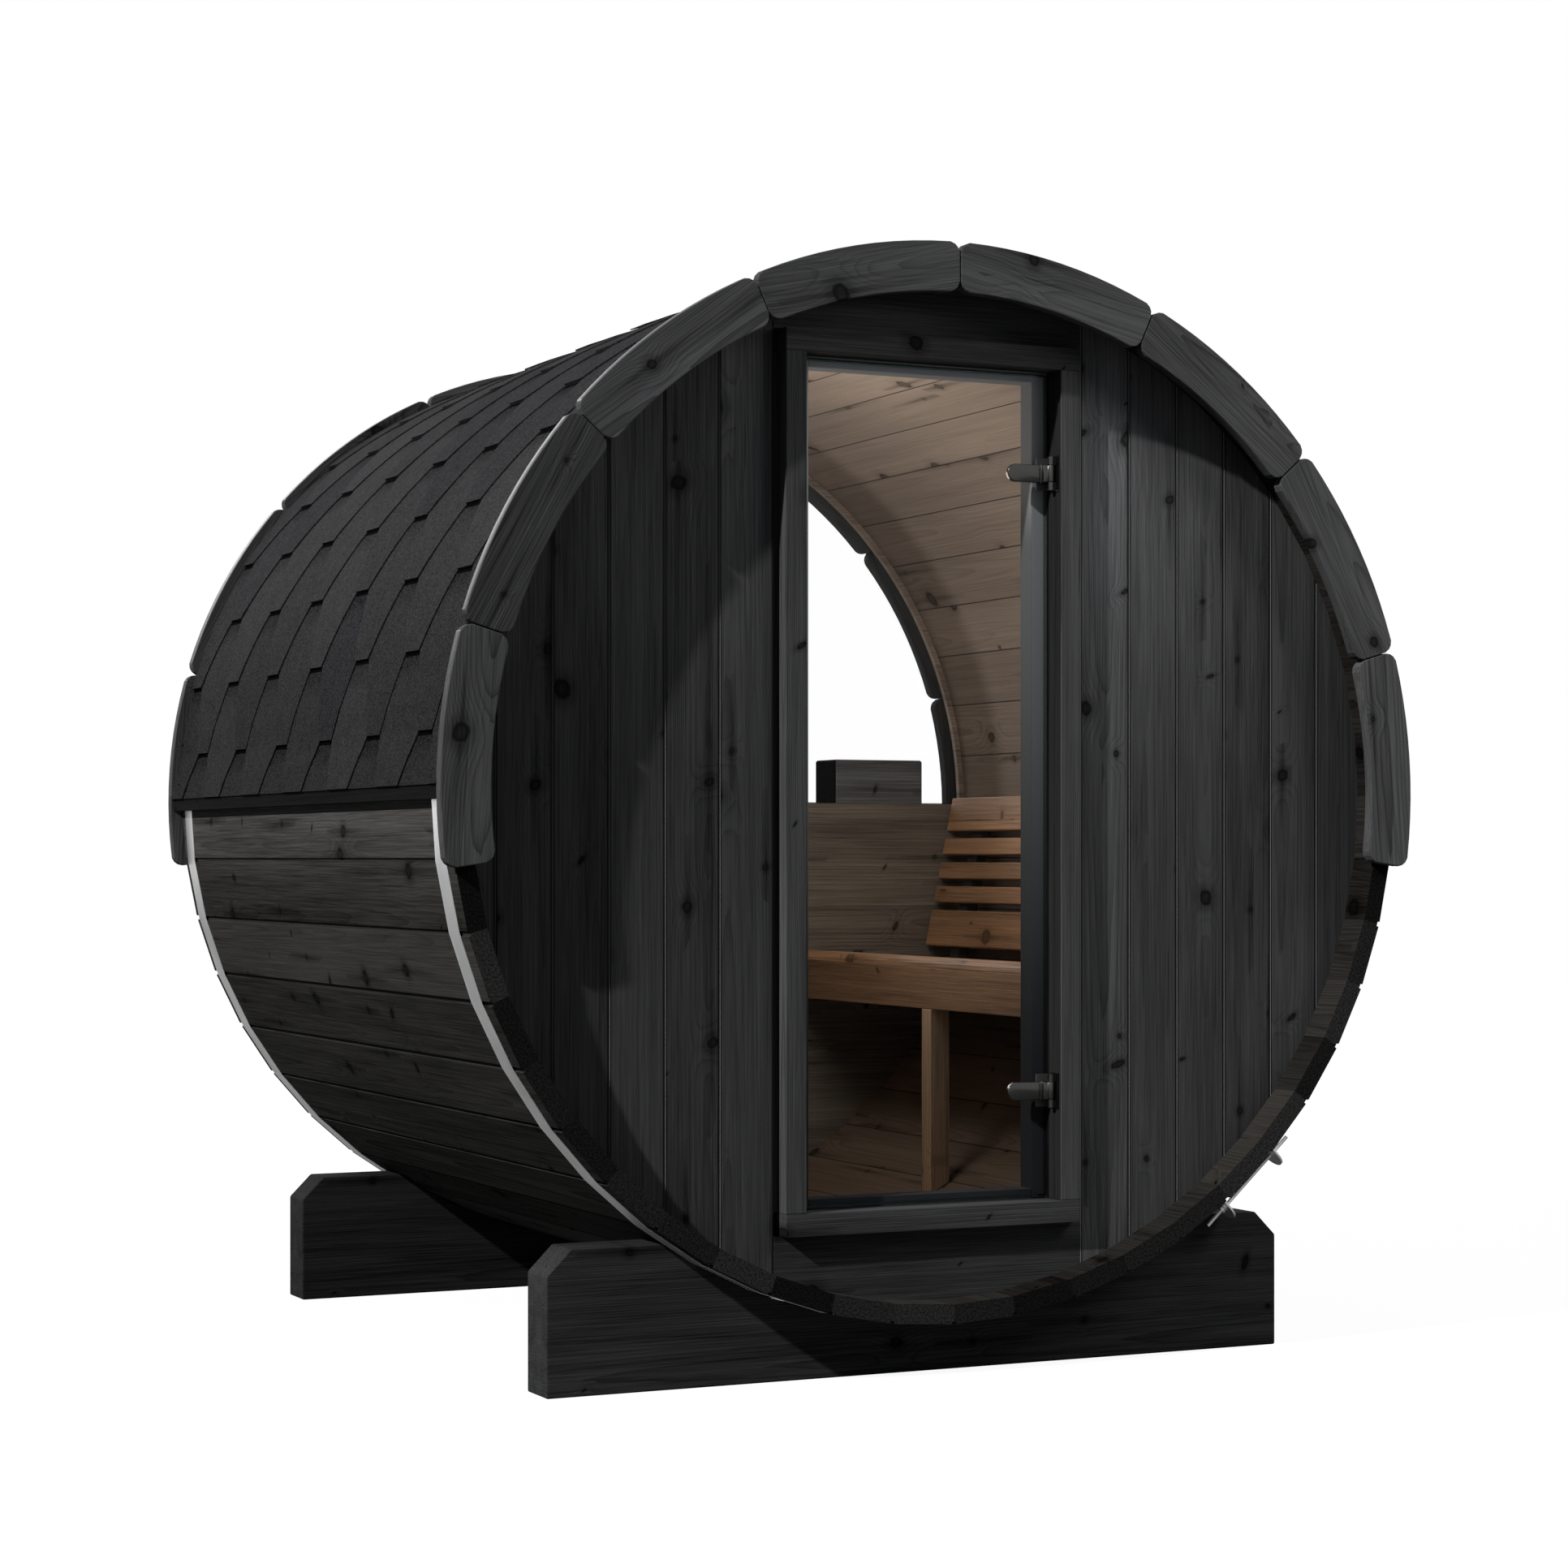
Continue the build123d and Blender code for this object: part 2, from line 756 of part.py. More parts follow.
def leaning(y):
    # Plane across the barrel with its origin at the backrest's foot and its y axis up the lean
    return Plane(
        origin=(backrest_foot, y, axis_height + backrest_bottom),
        x_dir=(cos(lean), 0, -sin(lean)),
        z_dir=(0, -1, 0),
    )


with BuildPart() as right_backrest:
    bottom = 0.0
    for slat_height in slat_heights:
        with BuildSketch(leaning(bench_back_end)):
            with Locations((backrest_thickness / 2, bottom + slat_height / 2)):
                Rectangle(backrest_thickness, slat_height)
        extrude(amount=bench_length)
        bottom += slat_height + backrest_gap
    upright_left = backrest_thickness + seat_gap
    upright_right = upright_left + upright_depth
    seat_drop = bench_top + seat_gap - backrest_bottom
    for middle in bearer_places:
        with BuildSketch(leaning(middle + upright_width / 2)):
            with BuildLine():
                Polyline(
                    (upright_left, seat_drop / cos(lean) + upright_left * tan(lean)),
                    (upright_right, seat_drop / cos(lean) + upright_right * tan(lean)),
                    (upright_right, backrest_height),
                    (upright_left, backrest_height),
                    close=True,
                )
            make_face()
        extrude(amount=upright_width)
save(right_backrest, "right_backrest")
mirrored(right_backrest, "left_backrest")
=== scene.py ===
import math
import random

import bmesh
import bpy
from mathutils import Matrix, Vector


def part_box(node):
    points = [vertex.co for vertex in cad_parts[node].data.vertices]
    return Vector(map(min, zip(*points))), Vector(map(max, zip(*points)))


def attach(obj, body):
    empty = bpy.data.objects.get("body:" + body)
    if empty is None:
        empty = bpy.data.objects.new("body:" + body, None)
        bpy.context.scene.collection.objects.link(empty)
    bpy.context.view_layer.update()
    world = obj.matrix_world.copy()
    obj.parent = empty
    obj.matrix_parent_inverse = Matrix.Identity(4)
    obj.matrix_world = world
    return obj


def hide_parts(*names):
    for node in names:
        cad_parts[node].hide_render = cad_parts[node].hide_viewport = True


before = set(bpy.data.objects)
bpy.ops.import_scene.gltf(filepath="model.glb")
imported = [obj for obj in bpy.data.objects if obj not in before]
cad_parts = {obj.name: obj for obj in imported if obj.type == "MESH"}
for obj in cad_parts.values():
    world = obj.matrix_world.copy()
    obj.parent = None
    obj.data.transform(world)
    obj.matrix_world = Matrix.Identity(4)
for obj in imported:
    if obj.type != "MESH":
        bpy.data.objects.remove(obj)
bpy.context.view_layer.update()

print("frame loaded:", len(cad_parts), "nodes")

# places read from the frame, in metres
bandLow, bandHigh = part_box("front_band")
headerLow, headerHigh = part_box("front_wall_header")
roofLow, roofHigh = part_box("roof_right")
backWallLow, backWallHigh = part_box("back_wall")
seatLow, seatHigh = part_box("right_bench_seat")
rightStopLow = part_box("door_frame_right")[0]
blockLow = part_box("sill_block")[0]
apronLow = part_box("right_bench_frame")[0]
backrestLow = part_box("right_backrest")[0]
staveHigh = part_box("staves_top_left")[1]
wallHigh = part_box("front_wall_left")[1]
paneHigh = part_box("back_window")[1]
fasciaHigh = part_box("front_fascia")[1]
axisHeight = (bandLow.z + bandHigh.z) / 2
halfLength = staveHigh.y
boardGap = 0.0002
boardPitch = (headerHigh.x - headerLow.x + 2 * boardGap) / 6  # the doorway is six boards wide
doorwayLeft = headerLow.x - boardGap
bandToLining = 0.0432
barrelInner = bandHigh.z - axisHeight - bandToLining


# camera, floor and light
camera = {
    "place": (-2.9963, -6.4199, 0.99495),
    "turn": 25.507,  # degrees to the right of straight ahead
    "lens": 75.33,
    "rise": 0.04676,  # the photo's horizon lies under its middle
    "sensor": 36.0,
    "far": 60.0,
}
light = {
    "sunPlace": (-6, -3, 6),
    "sunTravel": (0.776, 0.241, -0.586),
    "sunStrength": 5.8,
    "sunAngle": 1.2,
    "sky": (0.84, 0.9, 1.0),
    "skyStrength": 0.19,
    "rimPlace": (-1.6, 5.2, 3.6),
    "rimSize": (4.5, 2.0),
    "rimPower": 110.0,
    "fillPlace": (2.8, -2.3, 3.0),
    "fillSize": (1.6, 1.6),
    "fillPower": 105.0,
    "rearPlace": (3.4, 3.6, 3.2),
    "rearSize": (2.4, 2.4),
    "rearPower": 170.0,
    "roomPlace": (-0.05, -0.06, 1.6),
    "roomPower": 15.0,
    "roomColour": (1.0, 0.93, 0.85),
    "roomSize": 0.3,
}
floor = {"half": 14.0, "colour": (0.86, 0.86, 0.86), "bounce": 0.1, "ownLight": 0.93}


class Value:
    # a socket that takes part in sums
    def __init__(self, finish, socket):
        self.finish, self.socket = finish, socket

    def out(self, name):
        return Value(self.finish, self.socket.node.outputs[name])

    def __add__(self, other):
        return self.finish.math("ADD", self, other)

    def __radd__(self, other):
        return self.finish.math("ADD", other, self)

    def __sub__(self, other):
        return self.finish.math("SUBTRACT", self, other)

    def __rsub__(self, other):
        return self.finish.math("SUBTRACT", other, self)

    def __mul__(self, other):
        return self.finish.math("MULTIPLY", self, other)

    def __rmul__(self, other):
        return self.finish.math("MULTIPLY", other, self)

    def __truediv__(self, other):
        return self.finish.math("DIVIDE", self, other)

    def __rtruediv__(self, other):
        return self.finish.math("DIVIDE", other, self)

    def __pow__(self, other):
        return self.finish.math("POWER", self, other)

    def __gt__(self, other):
        return self.finish.math("GREATER_THAN", self, other)

    def __lt__(self, other):
        return self.finish.math("LESS_THAN", self, other)


class Finish:
    # a material, or the world, and the nodes that it is made of
    def __init__(self, owner):
        owner.use_nodes = True
        self.owner = owner
        self.tree = owner.node_tree
        self.shader = self.tree.nodes.get("Principled BSDF")

    def node(self, kind, settings=None, sockets=None, output=0):
        made = self.tree.nodes.new(kind)
        for name, setting in (settings or {}).items():
            setattr(made, name, setting)
        for name, value in (sockets or {}).items():
            self.feed(made.inputs[name], value)
        return Value(self, made.outputs[output]) if len(made.outputs) else made

    def feed(self, socket, value):
        if isinstance(value, Value):
            self.tree.links.new(value.socket, socket)
        else:
            socket.default_value = value

    def math(self, operation, a, b=0.0, c=0.0):
        return self.node("ShaderNodeMath", {"operation": operation}, {0: a, 1: b, 2: c})

    def smooth(self, value, low, high):
        ranged = {"Value": value, "From Min": low, "From Max": high, "To Min": 0.0, "To Max": 1.0}
        return self.node("ShaderNodeMapRange", {"interpolation_type": "SMOOTHSTEP"}, ranged)

    def blend(self, share, a, b, how="MIX"):
        sides = [(*side, 1.0) if isinstance(side, tuple) else side for side in (a, b)]
        settings = {"data_type": "RGBA", "blend_type": how}
        return self.node("ShaderNodeMix", settings, {0: share, 6: sides[0], 7: sides[1]}, 2)

    def spot(self):
        place = self.node("ShaderNodeTexCoord", {}, {}, "Object")
        parts = self.node("ShaderNodeSeparateXYZ", {}, {0: place}, "X")
        return parts, parts.out("Y"), parts.out("Z")

    def vector(self, x, y, z):
        return self.node("ShaderNodeCombineXYZ", {}, {0: x, 1: y, 2: z})

    def noise(self, place, scale=1.0, detail=2.0, rough=0.5):
        sockets = {"Vector": place, "Scale": scale, "Detail": detail, "Roughness": rough}
        return self.node("ShaderNodeTexNoise", {}, sockets)

    def dice(self, number):
        # three random numbers for each whole number
        thrown = self.node("ShaderNodeTexWhiteNoise", {"noise_dimensions": "1D"}, {"W": number}, "Color")
        parts = self.node("ShaderNodeSeparateXYZ", {}, {0: thrown}, "X")
        return parts, parts.out("Y"), parts.out("Z")

    def bump(self, height, strength, distance):
        sockets = {"Height": height, "Strength": strength, "Distance": distance}
        self.feed(self.shader.inputs["Normal"], self.node("ShaderNodeBump", {}, sockets))

    def tint(self, colour, tone):
        # a colour times one number
        return self.blend(1.0, colour, self.vector(tone, tone, tone), "MULTIPLY")

    def set(self, **values):
        for name, value in values.items():
            self.feed(self.shader.inputs[name.replace("_", " ")], value)


def newFinish(name):
    return Finish(bpy.data.materials.new(name))


def setCamera():
    data = bpy.data.cameras.new("photoCamera")
    data.lens, data.sensor_width, data.shift_y = camera["lens"], camera["sensor"], camera["rise"]
    data.clip_end = camera["far"]
    made = bpy.data.objects.new("photoCamera", data)
    made.location = camera["place"]
    made.rotation_euler = (math.radians(90), 0, math.radians(-camera["turn"]))
    bpy.context.collection.objects.link(made)
    bpy.context.scene.camera = made


def setLamp(name, kind, place, towards, settings):
    data = bpy.data.lights.new(name, kind)
    for key, value in settings.items():
        setattr(data, key, value)
    made = bpy.data.objects.new(name, data)
    made.location = place
    made.rotation_mode = "QUATERNION"
    made.rotation_quaternion = Vector(towards).to_track_quat("-Z", "Y")
    made.visible_camera = False
    bpy.context.collection.objects.link(made)
    return made


def seenRay(finish):
    # camera and see-through rays, which meet plain white
    path = finish.node("ShaderNodeLightPath", {}, {}, "Is Camera Ray")
    return finish.math("MAXIMUM", path, path.out("Is Transmission Ray"))


def mirrorRay(finish):
    return finish.node("ShaderNodeLightPath", {}, {}, "Is Glossy Ray")


def setPanel(name, kind):
    # an area lamp aimed at the middle of the barrel
    place = Vector(light[kind + "Place"])
    wide, high = light[kind + "Size"]
    settings = {"shape": "RECTANGLE", "size": wide, "size_y": high, "energy": light[kind + "Power"]}
    return setLamp(name, "AREA", place, Vector((0, 0, axisHeight)) - place, settings)


def setStage():
    world = bpy.data.worlds.new("studio")
    bpy.context.scene.world = world
    sky = Finish(world)
    white = sky.node("ShaderNodeBackground", {}, {"Color": (1, 1, 1, 1), "Strength": 1.0})
    dim = {"Color": (*light["sky"], 1), "Strength": light["skyStrength"]}
    glow = sky.node("ShaderNodeBackground", {}, dim)
    plain = sky.math("MAXIMUM", seenRay(sky), mirrorRay(sky))
    both = sky.node("ShaderNodeMixShader", {}, {0: plain, 1: glow, 2: white})
    sky.feed(sky.tree.nodes["World Output"].inputs["Surface"], both)

    shape = bmesh.new()
    bmesh.ops.create_grid(shape, x_segments=1, y_segments=1, size=floor["half"])
    ground = finished("floor", shape)
    pale = newFinish("paleFloor")
    dim = tuple(part * floor["bounce"] for part in floor["colour"])
    pale.set(Base_Color=pale.blend(seenRay(pale), dim, floor["colour"]), Roughness=0.9)
    lit = pale.node("ShaderNodeEmission", {}, {"Color": (1, 1, 1, 1), "Strength": 1.0})
    share = seenRay(pale) * floor["ownLight"]
    both = pale.node("ShaderNodeMixShader", {}, {0: share, 1: Value(pale, pale.shader.outputs[0]), 2: lit})
    pale.feed(pale.tree.nodes["Material Output"].inputs["Surface"], both)
    dress(ground, pale)

    sun = {"energy": light["sunStrength"], "angle": math.radians(light["sunAngle"])}
    setLamp("keySun", "SUN", light["sunPlace"], light["sunTravel"], sun)
    setPanel("rimLight", "rim")
    # glass doesn't mirror the squares of these two
    setPanel("fillLight", "fill").visible_glossy = False
    setPanel("rearLight", "rear").visible_glossy = False
    bulb = {"energy": light["roomPower"], "color": light["roomColour"], "shadow_soft_size": light["roomSize"]}
    setLamp("roomLight", "POINT", light["roomPlace"], (0, 0, -1), bulb)


def finished(name, shape, smooth=False):
    # bmesh to object
    mesh = bpy.data.meshes.new(name)
    shape.to_mesh(mesh)
    shape.free()
    for face in mesh.polygons:
        face.use_smooth = smooth
    made = bpy.data.objects.new(name, mesh)
    bpy.context.collection.objects.link(made)
    return made


def dress(piece, finish):
    piece.data.materials.clear()
    piece.data.materials.append(finish.owner)


# wood
# numbers that the boards of each kind count from, so that they don't share their grain
firstBoard = {"upright": 3, "level": 41, "post": 77, "back": 120, "fascia": 210, "stave": 300, "bench": 500}
knots = {"along": 4.0, "across": 8.0, "none": 0.2, "least": 0.005, "more": 0.015, "slanted": 0.62}


def grain(f, u, v, w, board, ring=0.0046, wave=0.02, tilt=0.05, sharp=4.0):
    # u runs along the board, v across its face, w through it, with year rings about a pith off the board
    a, b, c = f.dice(board)
    w = f.math("PINGPONG", w, 0.04)
    # one knot in some of the cells of a loose grid, a few of them cut slantwise
    knotU, knotV = u * knots["along"] + a * 40, v * knots["across"] + b * 40
    cell = f.node("ShaderNodeTexVoronoi", {"voronoi_dimensions": "2D"},
                  {"Vector": f.vector(knotU, knotV, 0.0), "Scale": 1.0, "Randomness": 0.85}, "Position")
    centre = f.node("ShaderNodeSeparateXYZ", {}, {0: cell}, "X")
    luck = f.node("ShaderNodeSeparateXYZ", {}, {0: cell.out("Color")}, "X")
    du, dv = (knotU - centre) / knots["along"], (knotV - centre.out("Y")) / knots["across"]
    slant = (luck.out("Z") - 0.5) * 2.2
    c1, s1 = f.math("COSINE", slant), f.math("SINE", slant)
    along, over = du * s1 + dv * c1, du * c1 - dv * s1
    thin = (luck.out("Z") > knots["slanted"]) * 5 + 0.7
    apart = f.math("SQRT", along * along + over * over * thin)
    size = luck * luck * knots["more"] + knots["least"]
    there = luck.out("Y") > knots["none"]
    reach = apart / size + (f.noise(f.vector(u * 90, v * 90, w * 90), 1.0, 2.0) - 0.5) * 0.5
    near = f.math("EXPONENT", reach * reach * -0.12) * there
    knot = (1 - f.smooth(reach, 0.72, 1.1)) * (f.smooth(reach, 0.25, 0.8) * 0.25 + 0.75) * there
    rim = (1 - f.smooth(reach, 0.9, 2.4)) * there
    # resin runs along the grain from some knots
    run = f.math("EXPONENT", dv * dv * -22000) * f.math("EXPONENT", du * du * -60)
    resin = run * there * (luck.out("Z") < 0.5) * f.noise(f.vector(u * 14, v * 260, 0.0), 1.0, 2.0)
    drift = f.noise(f.vector(u * 0.9 + a * 30, v * 4.0 + b * 30, c * 30), 1.0, 2.0) - 0.5
    across = v + (a - 0.5) * 0.1 + drift * wave
    depth = w + b * 0.06 + 0.016 + u * (c - 0.5) * tilt + near * 0.012
    wobble = f.noise(f.vector(u * 5, v * 70, w * 70), 1.0, 2.0)
    saw = f.math("FRACT", f.math("SQRT", across * across + depth * depth) / ring + wobble * 0.5)
    late = saw ** sharp
    fibre = f.noise(f.vector(u * 7, v * 480, w * 480), 1.0, 3.0, 0.65)
    streak = f.noise(f.vector(u * 2.2 + a * 9, v * 190, w * 190), 1.0, 2.0)
    cloud = f.noise(f.vector(u * 1.6 + c * 20, v * 24, w * 24), 1.0, 3.0)
    check = f.smooth(f.noise(f.vector(u * 3.2 + b * 15, v * 150, w * 150), 1.0, 1.0), 0.71, 0.77)
    return {"late": late, "fibre": fibre, "cloud": cloud, "knot": knot, "rim": rim, "resin": resin,
            "check": check, "streak": streak, "tone": a, "strength": b}


def stain(f, wood, light, dark, spread=0.45, rings=0.8):
    # colour of a stained or bare board from its grain
    tone = 1 - spread / 2 + wood["tone"] * spread + (wood["cloud"] - 0.5) * 1.1 + (wood["fibre"] - 0.5) * 1.6
    tone = tone + (wood["streak"] - 0.5) * 0.8
    base = f.blend(wood["late"] * (wood["strength"] * 0.8 + 0.4) * rings, light, dark)
    base = f.blend(wood["rim"] * 0.5, base, dark)
    base = f.tint(base, tone)
    black = tuple(part * 0.25 for part in dark)
    flaw = f.math("MAXIMUM", wood["knot"] * 0.88, f.math("MAXIMUM", wood["check"] * 0.5, wood["resin"] * 1.1))
    return f.blend(flaw, base, black)


def relief(f, wood, depth=0.0012, share=1.0):
    f.bump((wood["fibre"] * 0.45 + wood["streak"] * 0.55) * share, 0.55, depth)


def sheen(f, wood, paint, spread=0.2):
    # roughness varies with the fibre about the paint's own
    f.set(Roughness=(wood["fibre"] - 0.4) * spread + paint["rough"], Specular_IOR_Level=paint["gloss"])


charcoal = {"light": (0.0345, 0.0347, 0.0352), "dark": (0.0095, 0.0096, 0.01), "rough": 0.58, "gloss": 0.002}
warm = {"light": (0.34, 0.2, 0.11), "dark": (0.2, 0.107, 0.055), "rough": 0.55, "gloss": 0.25}
lining = {"light": (0.285, 0.233, 0.192), "dark": (0.185, 0.147, 0.117), "rough": 0.6, "gloss": 0.2}
toasted = {"light": (0.2, 0.178, 0.15), "dark": (0.115, 0.1, 0.082), "rough": 0.6, "gloss": 0.2}


def charFinish(name, frameOf, tint=1.0, rim=None, **rings):
    f = newFinish(name)
    wood = grain(f, *frameOf(f), **rings)
    light = tuple(part * tint for part in charcoal["light"])
    dark = tuple(part * tint for part in charcoal["dark"])
    f.set(Base_Color=stain(f, wood, light, dark), Specular_IOR_Level=charcoal["gloss"])
    f.set(Roughness=wood["fibre"] * 0.2 + wood["late"] * -0.08 + charcoal["rough"] - 0.08)
    relief(f, wood)
    if rim:
        # planed outer edge, which shines where it is seen along its length
        x, y, z = f.spot()
        far = f.math("SQRT", x * x + (z - axisHeight) * (z - axisHeight))
        shine = f.smooth(z, *fasciaBoards["shine"]) * 0.34 + 0.06
        f.set(Coat_Weight=(far > rim) * (wood["fibre"] * 0.6 + 0.7) * shine, Coat_Roughness=0.3, Coat_IOR=1.9)
    return f


doorStop = {
    "from": -0.795,  # where the stop begins, behind the glass
    "front": -0.85,
    "low": (0.0185, 0.0193, 0.0212),
    "high": (0.22, 0.23, 0.232),
    "edge": 0.0012,
    "wide": 0.0325,
    "stopLitHeights": (0.55, 1.9),  # heights between which painted light makes the stop paler towards its top
    "sunlit": (1.6, 1.8),  # the sun reaches its edge under these heights, where painted shade darkens it
    "shade": (0.004, 0.004, 0.004),
}


def frameFinish(name, frameOf, tint, sunny=None):
    # stained trim, with the smooth painted stop behind the glass, whose colour holds painted light that makes
    # it paler towards its top
    f = newFinish(name)
    wood = grain(f, *frameOf(f))
    light = tuple(part * tint for part in charcoal["light"])
    dark = tuple(part * tint for part in charcoal["dark"])
    x, y, z = f.spot()
    painted = y > doorStop["from"]
    # painted light: the stop's colour grows paler towards its top
    stop = f.blend(f.smooth(z, *doorStop["stopLitHeights"]), doorStop["low"], doorStop["high"])
    stop = f.tint(stop, wood["fibre"] * 0.1 + 0.95)
    if sunny:
        # painted shade: the reveal and the lower part of the stop's edge, which face the sun, are darkened to
        # look unlit
        lower = (1 - f.smooth(z, *doorStop["sunlit"])) * 0.7
        stop = f.blend((x < sunny + doorStop["edge"]) * (x > 0.0) * lower, stop, doorStop["shade"])
        shadedReveal = f.math("COMPARE", x, sunny + doorStop["wide"], doorStop["edge"]) * (y > doorStop["front"])
    trim = stain(f, wood, light, dark)
    if sunny:
        # painted shade on the reveal
        trim = f.blend(shadedReveal * 0.8, trim, doorStop["shade"])
    f.set(Base_Color=f.blend(painted, trim, stop))
    sheen(f, wood, charcoal)
    relief(f, wood, share=1 - painted)
    return f


block = {"light": (0.15, 0.162, 0.178), "dark": (0.055, 0.06, 0.066), "end": 0.003,
         "endShadeColour": (0.0008, 0.0008, 0.0008)}


def blockFinish(name):
    # stained block on the window sill, with painted shade making its left end black
    f = newFinish(name)
    wood = grain(f, *levelBoards(f))
    x = f.spot()[0]
    face = stain(f, wood, block["light"], block["dark"], 0.2)
    # painted shade: the left end is near black
    f.set(Base_Color=f.blend((x < blockLow.x + block["end"]) * 0.96, face, block["endShadeColour"]))
    sheen(f, wood, charcoal)
    relief(f, wood)
    return f


benchFrame = {"apron": 0.0912, "apronShade": (0.78, 0.8, 0.82), "postLight": (1.45, 1.8, 2.2)}


def benchFrameFinish(name):
    # apron boards run along the bench, posts stand under them
    f = newFinish(name)
    x, y, z = f.spot()
    post = z < seatHigh.z - benchFrame["apron"]
    board = f.math("FLOOR", x * 8) + post * 30 + firstBoard["bench"]
    wood = grain(f, y + (z - y) * post, z + (y - z) * post, x, board)
    # painted light: the posts are tinted lighter and bluer, the apron darker
    tone = f.blend(post, benchFrame["apronShade"], benchFrame["postLight"])
    colour = stain(f, wood, warm["light"], warm["dark"], 0.2)
    f.set(Base_Color=f.blend(1.0, colour, tone, "MULTIPLY"))
    sheen(f, wood, warm, 0.15)
    relief(f, wood, 0.0006)
    return f


backrest = {"lift": 0.0305, "lean": math.radians(11.9), "slat": 0.0201, "behind": (0.026, 0.029, 0.031)}


def backrestFinish(name):
    # slats of bare wood, with painted shade making the uprights behind them dark
    f = newFinish(name)
    wood = grain(f, *alongBoards(f))
    x, y, z = f.spot()
    up = z - seatHigh.z - backrest["lift"]
    out = f.math("ABSOLUTE", x) - backrestLow.x
    back = out * math.cos(backrest["lean"]) - up * math.sin(backrest["lean"])
    colour = stain(f, wood, warm["light"], warm["dark"], 0.3)
    # painted shade on the uprights behind the slats
    f.set(Base_Color=f.blend(back > backrest["slat"], colour, backrest["behind"]))
    sheen(f, wood, warm, 0.15)
    relief(f, wood, 0.0006)
    return f


def warmFinish(name, frameOf, paint=warm):
    f = newFinish(name)
    wood = grain(f, *frameOf(f))
    f.set(Base_Color=stain(f, wood, paint["light"], paint["dark"], 0.3))
    sheen(f, wood, paint, 0.15)
    relief(f, wood, 0.0006)
    return f


def uprightBoards(f):
    x, y, z = f.spot()
    board = f.math("FLOOR", (x - doorwayLeft) / boardPitch)
    return z, x - (board + 0.5) * boardPitch - doorwayLeft, y, board + firstBoard["upright"]


def levelBoards(f):
    x, y, z = f.spot()
    return x, z, y, f.math("FLOOR", z * 3.1) + firstBoard["level"]


def upPosts(f):
    x, y, z = f.spot()
    return z, x, y, f.math("FLOOR", x * 2.0) + firstBoard["post"]


def alongBoards(f):
    x, y, z = f.spot()
    return y, z, x, f.math("FLOOR", x * 40) + f.math("FLOOR", z * 12) * 7


sideBoard = {"pitch": 0.108}


def sideBoards(f):
    # back wall of level boards
    x, y, z = f.spot()
    board = f.math("FLOOR", (z - backWallHigh.z) / sideBoard["pitch"])
    return x, z - (board + 0.5) * sideBoard["pitch"] - backWallHigh.z, y, board + firstBoard["back"]


def aroundAxis(f, first, step, slack=None):
    # boards set round the barrel's axis: place along the chord, distance out, number of the board
    x, y, z = f.spot()
    up = z - axisHeight
    turn = f.math("ARCTAN2", up, x)
    if slack:
        # the last boards lie past the half turn, where angles start again
        turn = turn + (turn < (first - slack)) * (2 * math.pi)
    board = f.math("FLOOR", (turn - first) / step)
    middle = (board + 0.5) * step + first
    c, s = f.math("COSINE", middle), f.math("SINE", middle)
    return up * c - x * s, x * c + up * s, board


fasciaBoards = {"count": 8, "span": math.radians(196.4), "slack": 0.02, "backNumber": 30, "planed": 0.0012,
                "shine": (1.1, 1.9)}


def fasciaFrame(f):
    step = fasciaBoards["span"] / fasciaBoards["count"]
    first = math.pi / 2 - fasciaBoards["span"] / 2
    side, out, board = aroundAxis(f, first, step, fasciaBoards["slack"])
    y = f.spot()[1]
    backBoard = (y > 0.0) * fasciaBoards["backNumber"]
    return side, out - 1.0, y, board + backBoard + firstBoard["fascia"]


staves = {
    "step": math.radians(7.5),
    "joint": 0.0014,
    "jointColour": (0.02, 0.019, 0.019),
    "light": (0.052, 0.0502, 0.0475),
    "dark": (0.0138, 0.0132, 0.0121),
    "shadedLight": (0.15, 0.112, 0.084),  # painted shade, low and far inside the room
    "shadedDark": (0.085, 0.062, 0.046),
    "recessShadeLight": (0.014, 0.0128, 0.0115),  # painted shade inside, beyond the end walls
    "recessShadeDark": (0.004, 0.0036, 0.0032),
    "sawnLight": (0.03, 0.029, 0.028),
    "sawnDark": (0.003, 0.003, 0.003),
    "lining": 0.004,
    "croze": 0.006,
    "end": 0.0006,
    "shadeUnder": (0.15, 0.95),
    "shadeBehind": (0.62, 0.71),
    "lowStaveShade": (0.86, 1.14),
}


